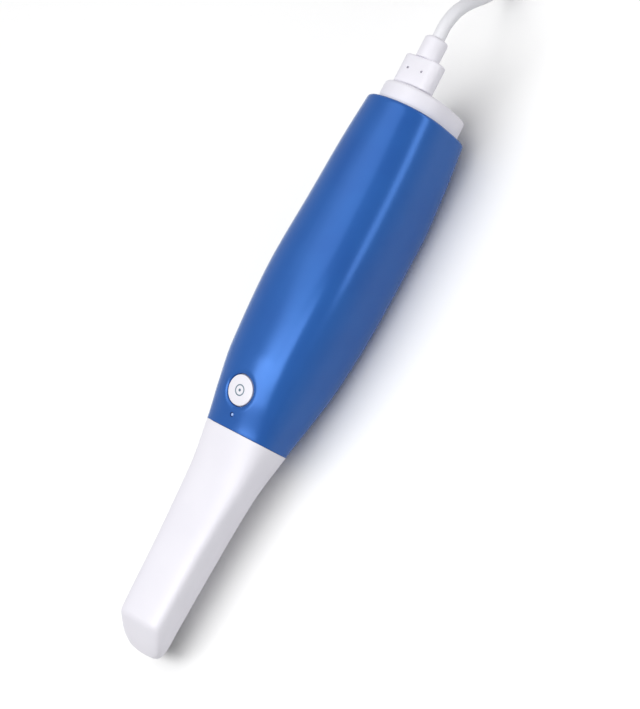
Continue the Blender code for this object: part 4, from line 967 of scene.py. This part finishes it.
class Graph:
    """A tree of nodes and the one way that they are added."""

    def __init__(self, tree):
        self.tree = tree

    def node(self, kind, settings=None, sockets=None, output=0):
        """A node of a kind, its settings first, then the values or wires of its sockets."""
        made = self.tree.nodes.new("ShaderNode" + kind)
        for name, value in (settings or {}).items():
            if name == "stops":
                stops = made.color_ramp.elements
                while len(stops) < len(value):
                    stops.new(0.5)
                for stop, (position, colour) in zip(stops, value):
                    stop.position = position
                    stop.color = (*colour, 1.0)
            else:
                setattr(made, name, value)
        self.fill(made, sockets or {})
        return Wire(self, made.outputs[output]) if made.outputs else None

    def several(self, kind, names, sockets=None):
        """A node of which several outputs are wanted, as wires."""
        made = self.node(kind, sockets=sockets).socket.node
        return [Wire(self, made.outputs[name]) for name in names]

    def fill(self, made, sockets):
        """Set a node's sockets to values, or link them to wires."""
        for name, value in sockets.items():
            if isinstance(value, Wire):
                self.tree.links.new(value.socket, made.inputs[name])
            else:
                made.inputs[name].default_value = value


print("operators on wires: + - * **")

# %% [markdown]
# A material starts with Blender's own shader, and all patterns on it are drawn in object coordinates, in
# metres, so a grain keeps its real size on every piece. The few nodes that nearly every finish needs,
# such as noise, a mix of two colours and a bump, get a short name here.

# %% Finishes


class Finish(Graph):
    """A material, its shader, and short names for the nodes that most finishes need."""

    def __init__(self, name):
        self.material = bpy.data.materials.new(name)
        self.material.use_nodes = True
        super().__init__(self.material.node_tree)
        self.shader = self.tree.nodes["Principled BSDF"]
        self.place = self.node("TexCoord", output="Object")

    def set(self, **sockets):
        """Set or link the shader's own sockets, named with underscores for spaces."""
        self.fill(self.shader, {name.replace("_", " "): value for name, value in sockets.items()})
        return self.material

    def noise(self, scale, detail=2.0, roughness=0.5, place=None):
        """Noise of a scale per metre, from 0 to 1."""
        sockets = {"Vector": place or self.place, "Scale": scale, "Detail": detail}
        return self.node("TexNoise", sockets={**sockets, "Roughness": roughness})

    def mix(self, share, first, second):
        """Two colours, mixed by a share."""
        first, second = ((*c, 1.0) if isinstance(c, tuple) else c for c in (first, second))
        return self.node("Mix", {"data_type": "RGBA"}, {0: share, 6: first, 7: second}, output=2)

    def step(self, value, low, high):
        """A value turned into a smooth mask from low to high."""
        sockets = {"Value": value, "From Min": low, "From Max": high}
        return self.node("MapRange", {"interpolation_type": "SMOOTHSTEP"}, sockets)

    def parts(self):
        """The three parts of a place as wires."""
        return self.several("SeparateXYZ", "XYZ", {0: self.place})

    def bump(self, height, depth):
        """A normal from a height between 0 and 1 that stands depth metres high."""
        return self.node("Bump", sockets={"Strength": 1.0, "Distance": depth, "Height": height})


def linear(*colour):
    """A colour as read off a screen, 0 to 255, in the linear values that a shader takes."""
    shares = [value / 255 for value in colour]
    return tuple(s / 12.92 if s <= 0.04045 else ((s + 0.055) / 1.055) ** 2.4 for s in shares)


print("mid grey is", round(linear(128, 128, 128)[0], 3))

# %% [markdown]
# The white plastic is a medical grade moulding, satin rather than glossy, with the faint cool cast that
# titanium white has. Up close such a surface has a spark-eroded grain of about a fifth of a millimetre,
# and its gloss is never quite even where it is touched. Both are tiny here, since too much grain would
# look like paper.

# %% White plastic
WHITE_TONES = ((0.815, 0.80, 0.86), (0.79, 0.777, 0.84))
DRIFT_SCALE = 38.0
DRIFT_RANGE = (0.35, 0.65)
HANDLING_SCALE = 95.0


def moulded(name, tones, gloss, spread_of_gloss, grain_depth, grain_size=0.00018):
    """A moulded plastic: two close tones in slow drifts, uneven gloss and a fine eroded grain."""
    made = Finish(name)
    drift = made.noise(DRIFT_SCALE, 3.0)
    handled = made.noise(HANDLING_SCALE, 4.0, 0.6)
    grain = made.noise(1 / grain_size, 2.0, 0.55)
    colour = made.mix(made.step(drift, *DRIFT_RANGE), *tones)
    least = gloss - spread_of_gloss * 0.75  # both noises are 0.5 on average, so the mean stays as given
    roughness = handled * spread_of_gloss + grain * (spread_of_gloss / 2) + least
    made.set(Base_Color=colour, Roughness=roughness, Normal=made.bump(grain, grain_depth))
    return made


white = moulded("white satin plastic", WHITE_TONES, 0.44, 0.08, 0.000006)
white.set(IOR=1.5)
white_plastic = white.material
print("white plastic ready")

# %% [markdown]
# The grip is the same kind of moulding in a saturated blue, with more gloss, so that the studio lamps
# draw one long streak along its shoulder. In the photograph that streak is a pale blue, not white. A
# clear lacquer would mirror the lamps white. A pearly pigment gives the light its own colour, so the
# shader is made a little metallic, and its specular gets a blue tint.

# %% Blue plastic
BLUE_TONES = (linear(28, 84, 161), linear(26, 80, 157))
blue = moulded("satin blue plastic", BLUE_TONES, 0.25, 0.04, 0.000006, 0.00022)
blue.set(IOR=1.55, Specular_Tint=(0.52, 0.76, 1.0, 1.0), Metallic=0.24)
blue_plastic = blue.material
print("blue plastic ready")

# %% [markdown]
# The button carries a small generic ring with a dot, printed in dark teal. Print has a soft edge and lies
# on the plastic, so it changes the colour and, a little, the gloss. The ring is drawn by the distance from
# the button's own axis, which runs along its travel.

# %% Button print
RING_RADIUS = 0.0021
RING_WIDTH = 0.00042
DOT_RADIUS = 0.00055
PRINT_EDGE = 0.00006
FACE_DEPTH = (-0.0012, -0.0010)
WEAR_SCALE = 2600.0
INK = linear(24, 84, 104)

printed = Finish("white plastic with a printed ring")
from_hub = printed.node("VectorMath", {"operation": "SUBTRACT"}, {0: printed.place, 1: button_place})
lengthwise = printed.node("VectorMath", {"operation": "DOT_PRODUCT"}, {0: from_hub, 1: outward}, "Value")
distance = printed.node("VectorMath", {"operation": "LENGTH"}, {0: from_hub}, "Value")
from_axis = (distance * distance - lengthwise * lengthwise) ** 0.5
off_ring = printed.node("Math", {"operation": "ABSOLUTE"}, {0: from_axis - RING_RADIUS})
ring = printed.step(off_ring, RING_WIDTH / 2 + PRINT_EDGE, RING_WIDTH / 2)
dot = printed.step(from_axis, DOT_RADIUS + PRINT_EDGE, DOT_RADIUS)
upper = printed.step(lengthwise, *FACE_DEPTH)
ink = printed.node("Math", {"operation": "MAXIMUM"}, {0: ring, 1: dot}) * upper
worn = printed.step(printed.noise(WEAR_SCALE, 3.0), 0.30, 0.45)
grain = printed.noise(5500.0)
plain = printed.mix(printed.step(printed.noise(DRIFT_SCALE), *DRIFT_RANGE), *WHITE_TONES)
colour = printed.mix(ink * (worn * 0.25 + 0.7), plain, INK)
gloss = 0.32 + grain * 0.08 + ink * 0.08
printed_plastic = printed.set(Base_Color=colour, Roughness=gloss, Normal=printed.bump(grain, 0.000006))
print("button print ready")

# %% [markdown]
# Inside are the finishes of the works. Black plastic and rubber are matt and differ in grain. Steel is
# brushed along its length, aluminium is bead blasted, and both are metals: their colour tints what they
# mirror. The mirror in the tip is coated glass, almost without roughness, with the faintest haze.

# %% Black plastic, rubber, steel, aluminium, mirror
BRUSHED_ALONG = 140.0
BRUSHED_ACROSS = 5200.0
BLACK_TONES = ((0.022, 0.022, 0.024), (0.03, 0.03, 0.032))
RUBBER_TONES = ((0.018, 0.018, 0.018), (0.028, 0.027, 0.026))
black_plastic = moulded("black plastic", BLACK_TONES, 0.48, 0.12, 0.000012, 0.00025).material
black_rubber = moulded("black rubber", RUBBER_TONES, 0.72, 0.1, 0.00002, 0.00035).material

steel_finish = Finish("brushed steel")
x, y, z = steel_finish.parts()
strokes = {0: x * BRUSHED_ALONG, 1: y * BRUSHED_ACROSS, 2: z * BRUSHED_ACROSS}
stretched = steel_finish.node("CombineXYZ", sockets=strokes)
brushing = steel_finish.noise(1.0, 3.0, 0.6, stretched)
steel = steel_finish.set(
    Base_Color=steel_finish.mix(brushing, (0.56, 0.56, 0.57), (0.68, 0.67, 0.66)),
    Metallic=1.0,
    Roughness=brushing * 0.16 + 0.2,
    Normal=steel_finish.bump(brushing, 0.000004),
)

blasted = Finish("blasted aluminium")
bead_sockets = {"Vector": blasted.place, "Scale": 3800.0}
beads = blasted.node("TexVoronoi", sockets=bead_sockets, output="Distance")
cloudy = blasted.noise(160.0, 3.0)
aluminium = blasted.set(
    Base_Color=blasted.mix(cloudy, (0.70, 0.71, 0.73), (0.78, 0.79, 0.80)),
    Metallic=1.0,
    Roughness=cloudy * 0.12 + 0.32,
    Normal=blasted.bump(beads, 0.000010),
)

coated = Finish("coated mirror")
haze = coated.noise(220.0, 4.0)
mirror = coated.set(
    Base_Color=coated.mix(haze, (0.86, 0.88, 0.90), (0.90, 0.91, 0.92)),
    Metallic=1.0,
    Roughness=coated.step(haze, 0.45, 0.8) * 0.05 + 0.02,
)
print("black plastic, rubber and metals ready")

# %% [markdown]
# Circuit boards are glass cloth under green solder mask. The weave shows faintly through, copper runs
# show as lighter lines on a grid, and tinned pads sit where parts are soldered. A flexible ribbon is
# amber film with dark copper runs in it. Both are patterns of straight lines, so a few fractions of the
# coordinates are enough. A pattern is given by its stripes to the metre, the share that each one fills,
# and, where the edge is soft, the share that the edge takes.

# %% Circuit board and ribbon film
COPPER_RUNS = (1150.0, 0.34)
TINNED_PADS = (420.0, 0.26)
GLASS_CLOTH = (2600.0, 0.5, 0.25)
RIBBON_RUNS = (2400.0, 0.45)


def stripes(made, value, per_metre, width, edge=0.08):
    """Even stripes across a value: 1 within the given share of each period."""
    phase = made.node("Math", {"operation": "FRACT"}, {0: value * per_metre})
    away = made.node("Math", {"operation": "ABSOLUTE"}, {0: phase - 0.5})
    return made.step(away, width / 2 + edge, width / 2)


board = Finish("circuit board")
x, y, _ = board.parts()
patch = board.step(board.noise(210.0, 1.0), 0.42, 0.46)
runs_along, runs_across = (stripes(board, way, *COPPER_RUNS) for way in (y, x))
runs = {0: runs_along * patch, 1: runs_across * (1 - patch)}
runs = board.node("Math", {"operation": "MAXIMUM"}, runs)
pads = stripes(board, x, *TINNED_PADS) * stripes(board, y, *TINNED_PADS)
pads = pads * board.step(board.noise(130.0), 0.5, 0.54)
weave = stripes(board, x, *GLASS_CLOTH) * stripes(board, y, *GLASS_CLOTH)
mask = board.mix(runs * 0.8, (0.006, 0.085, 0.035), (0.020, 0.19, 0.085))
circuit_board = board.set(
    Base_Color=board.mix(pads, board.mix(weave * 0.15, mask, (0.05, 0.2, 0.09)), (0.62, 0.60, 0.56)),
    Metallic=pads,
    Roughness=0.42 - pads * 0.12 + weave * 0.08,
    Normal=board.bump(runs * 0.6 + pads * 0.4, 0.00003),
)

film = Finish("amber film")
_, y, _ = film.parts()
lines = stripes(film, y, *RIBBON_RUNS)
tone = film.mix(film.noise(300.0), (0.62, 0.25, 0.035), (0.52, 0.19, 0.02))
amber_film = film.set(
    Base_Color=film.mix(lines * 0.65, tone, (0.30, 0.105, 0.02)),
    Roughness=0.3 + lines * 0.1,
    Normal=film.bump(lines, 0.00002),
)
print("board and film ready")

# %% [markdown]
# Clear glass closes the nose and makes the lenses, with a faint smear in its gloss. The indicator is a
# milky light pipe over a small lamp, pale blue while the scanner is ready. Its glow is weak: in daylight
# such a lamp reads as a pale dot.

# %% Glass and lamp
clear = Finish("clear glass")
smear = clear.noise(240.0, 3.0)
clear_glass = clear.set(
    Base_Color=clear.mix(smear, (0.93, 0.96, 0.97), (0.97, 0.98, 0.99)),
    Roughness=clear.step(smear, 0.5, 0.75) * 0.05 + 0.02,
    Transmission_Weight=0.92,
    IOR=1.5,
)

milky = Finish("light pipe")
cloud = milky.noise(1400.0)
light_pipe = milky.set(
    Base_Color=milky.mix(cloud, linear(140, 172, 228), linear(160, 190, 238)),
    Roughness=cloud * 0.1 + 0.22,
    Emission_Color=milky.mix(cloud, linear(120, 170, 250), linear(150, 190, 252)),
    Emission_Strength=0.06,
)

lamp = Finish("lamp resin")
cloud = lamp.noise(2200.0)
lamp_resin = lamp.set(
    Base_Color=lamp.mix(cloud, (0.85, 0.83, 0.70), (0.90, 0.88, 0.80)),
    Roughness=cloud * 0.1 + 0.25,
)
print("glass and lamp ready")

# %% [markdown]
# The lead's jacket is soft white plastic with a dull skin. A jacket like this picks up faint waves where
# it was bent, and a few smudges. The strap is a dark woven tape. A plain weave is two sets of waves that
# pass over and under each other, about three threads to the millimetre, and the product of two sines
# gives its height.

# %% Cable jacket and strap fabric
JACKET_TONES = ((0.79, 0.79, 0.825), (0.765, 0.765, 0.805))
THREADS = 9400.0
jacket = moulded("cable jacket", JACKET_TONES, 0.47, 0.08, 0.00001, 0.0003)
smudges = jacket.step(jacket.noise(60.0, 4.0, 0.6), 0.60, 0.78)
tone = jacket.mix(jacket.noise(DRIFT_SCALE, 3.0), *JACKET_TONES)
cable_jacket = jacket.set(Base_Color=jacket.mix(smudges * 0.3, tone, (0.66, 0.66, 0.68)))

tape = Finish("woven strap")
x, y, z = tape.parts()
across_strap, round_strap = (
    tape.node("Math", {"operation": "SINE"}, {0: way * THREADS}) for way in (x, y + z)
)
weave = across_strap * round_strap * 0.5 + 0.5
fuzz = tape.noise(4200.0, 3.0, 0.6)
tone = tape.mix(weave, (0.012, 0.012, 0.014), (0.038, 0.038, 0.042))
tie_fabric = tape.set(
    Base_Color=tape.mix(fuzz * 0.35, tone, (0.06, 0.06, 0.064)),
    Roughness=fuzz * 0.2 + 0.7,
    Sheen_Weight=0.25,
    Normal=tape.bump(weave * 0.7 + fuzz * 0.3, 0.00012),
)
print("jacket and strap ready")

# %% [markdown]
# Now each shown piece takes its finish. The pieces built here are named one by one. The solids that stay
# take theirs from the record, where every node names its material slot, so that none is forgotten. Their
# round faces are shaded smooth, which changes no vertex.

# %% Finishes on pieces
FINISHES = {
    "white_plastic": white_plastic,
    "blue_plastic": blue_plastic,
    "black_plastic": black_plastic,
    "black_rubber": black_rubber,
    "steel": steel,
    "aluminium": aluminium,
    "mirror": mirror,
    "circuit_board": circuit_board,
    "amber_film": amber_film,
    "clear_glass": clear_glass,
    "lamp_resin": lamp_resin,
    "cable_jacket": cable_jacket,
    "tie_fabric": tie_fabric,
}


def wear(thing, finish):
    """Give a piece one finish in all of its slots."""
    thing.data.materials.clear()
    thing.data.materials.append(finish)


for thing in (sleeve, cap, plug, collar, relief, far_plug):
    wear(thing, white_plastic)
for thing, finish in (
    (grip, blue_plastic),
    (button, printed_plastic),
    (pipe, light_pipe),
    (strap, tie_fabric),
    (contact, steel),
    (lead, cable_jacket),
):
    wear(thing, finish)
print("pieces finished")

# %% Finishes on the solids that stay
for row in frame["record"]["subparts"]:
    node = nodes[row["node"]]
    wear(node, FINISHES[row["material_slot"]])
    smooth(node.data)
for name in ("projector_lens", "camera_lens_left", "camera_lens_right"):
    print(name, "made of", nodes[name].data.materials[0].name)

# %% [markdown]
# The floor is plain and pale, and continues far behind. A camera should see it white, but white all
# round would throw too much light up under the object, so the floor is darker for the rays that carry
# light between surfaces. It still takes the object's shadow, which is what puts the scanner on a table.

# %% Floor
FLOOR_SIZE = 12.0
FLOOR_DEPTH = 0.0002
SHOWN_WHITE = (1.0, 1.0, 1.0, 1.0)
BOUNCED_GREY = (0.58, 0.58, 0.585, 1.0)


def background_rays(graph):
    """1 for the rays that show what lies behind: the camera's own, mirrored, or through glass."""
    direct, mirrored, through_glass = graph.several(
        "LightPath", ("Is Camera Ray", "Is Glossy Ray", "Is Transmission Ray")
    )
    return direct + mirrored + through_glass


grid = bmesh.new()
bmesh.ops.create_grid(grid, x_segments=8, y_segments=8, size=FLOOR_SIZE / 2)
floor = linked("floor", grid)
floor.location.z = -FLOOR_DEPTH
paper = Finish("pale floor")
paper.tree.nodes.remove(paper.shader)
shown = paper.node("BsdfDiffuse", sockets={"Color": SHOWN_WHITE})
bounced = paper.node("BsdfDiffuse", sockets={"Color": BOUNCED_GREY})
seen = paper.node("Math", {"operation": "MINIMUM"}, {0: background_rays(paper), 1: 1.0})
mixed = paper.node("MixShader", sockets={0: seen, 1: bounced, 2: shown})
paper.fill(paper.tree.nodes["Material Output"], {"Surface": mixed})
floor.data.materials.append(paper.material)
print("floor", FLOOR_SIZE, "m wide")

# %% [markdown]
# A plain studio: even light from all round and three soft lamps. A long one overhead reaches out past the
# tip and draws the streak on the grip. A second, over the rear and a little behind, carries the streak
# on, fainter, to the rear. A low, wide one on the near side fills the side that faces us. Together they
# light an upward face at a level of about one, so colours come out as they are written. The world is
# white for the camera, and dimmer for the light that it gives.

# %% World
WORLD_LEVEL = 0.20
world = bpy.data.worlds.new("studio")
bpy.context.scene.world = world
world.use_nodes = True
world.node_tree.nodes.clear()
studio = Graph(world.node_tree)
level = studio.node("MapRange", sockets={"Value": background_rays(studio), "To Min": WORLD_LEVEL})
sky = studio.node("Background", sockets={"Color": SHOWN_WHITE, "Strength": level})
studio.node("OutputWorld", sockets={"Surface": sky})
print("world level", WORLD_LEVEL)

# %% Lamps
AIM = Vector((0.0, 0.0, 0.02))


def soft_lamp(name, x, lean, distance, size, power):
    """A wide lamp over x, leaning off the vertical towards the far side, aimed at the scanner."""
    data = bpy.data.lights.new(name, "AREA")
    data.shape = "RECTANGLE"
    data.size, data.size_y = size
    data.energy = power
    thing = bpy.data.objects.new(name, data)
    bpy.context.scene.collection.objects.link(thing)
    lean = math.radians(lean)
    thing.location = (x, math.sin(lean) * distance, math.cos(lean) * distance)
    thing.rotation_euler = (AIM - thing.location).to_track_quat("-Z", "Y").to_euler()
    thing.visible_camera = False
    print(name, "at", [round(value, 2) for value in thing.location])


soft_lamp("overhead lamp", -0.42, -3.0, 1.3, (1.66, 0.62), 15.2)
soft_lamp("far lamp", 0.24, 11.0, 1.3, (1.00, 0.96), 4.4)
soft_lamp("near lamp", 1.15, -79.0, 1.6, (2.20, 0.58), 13.0)

# %% The json module
import json
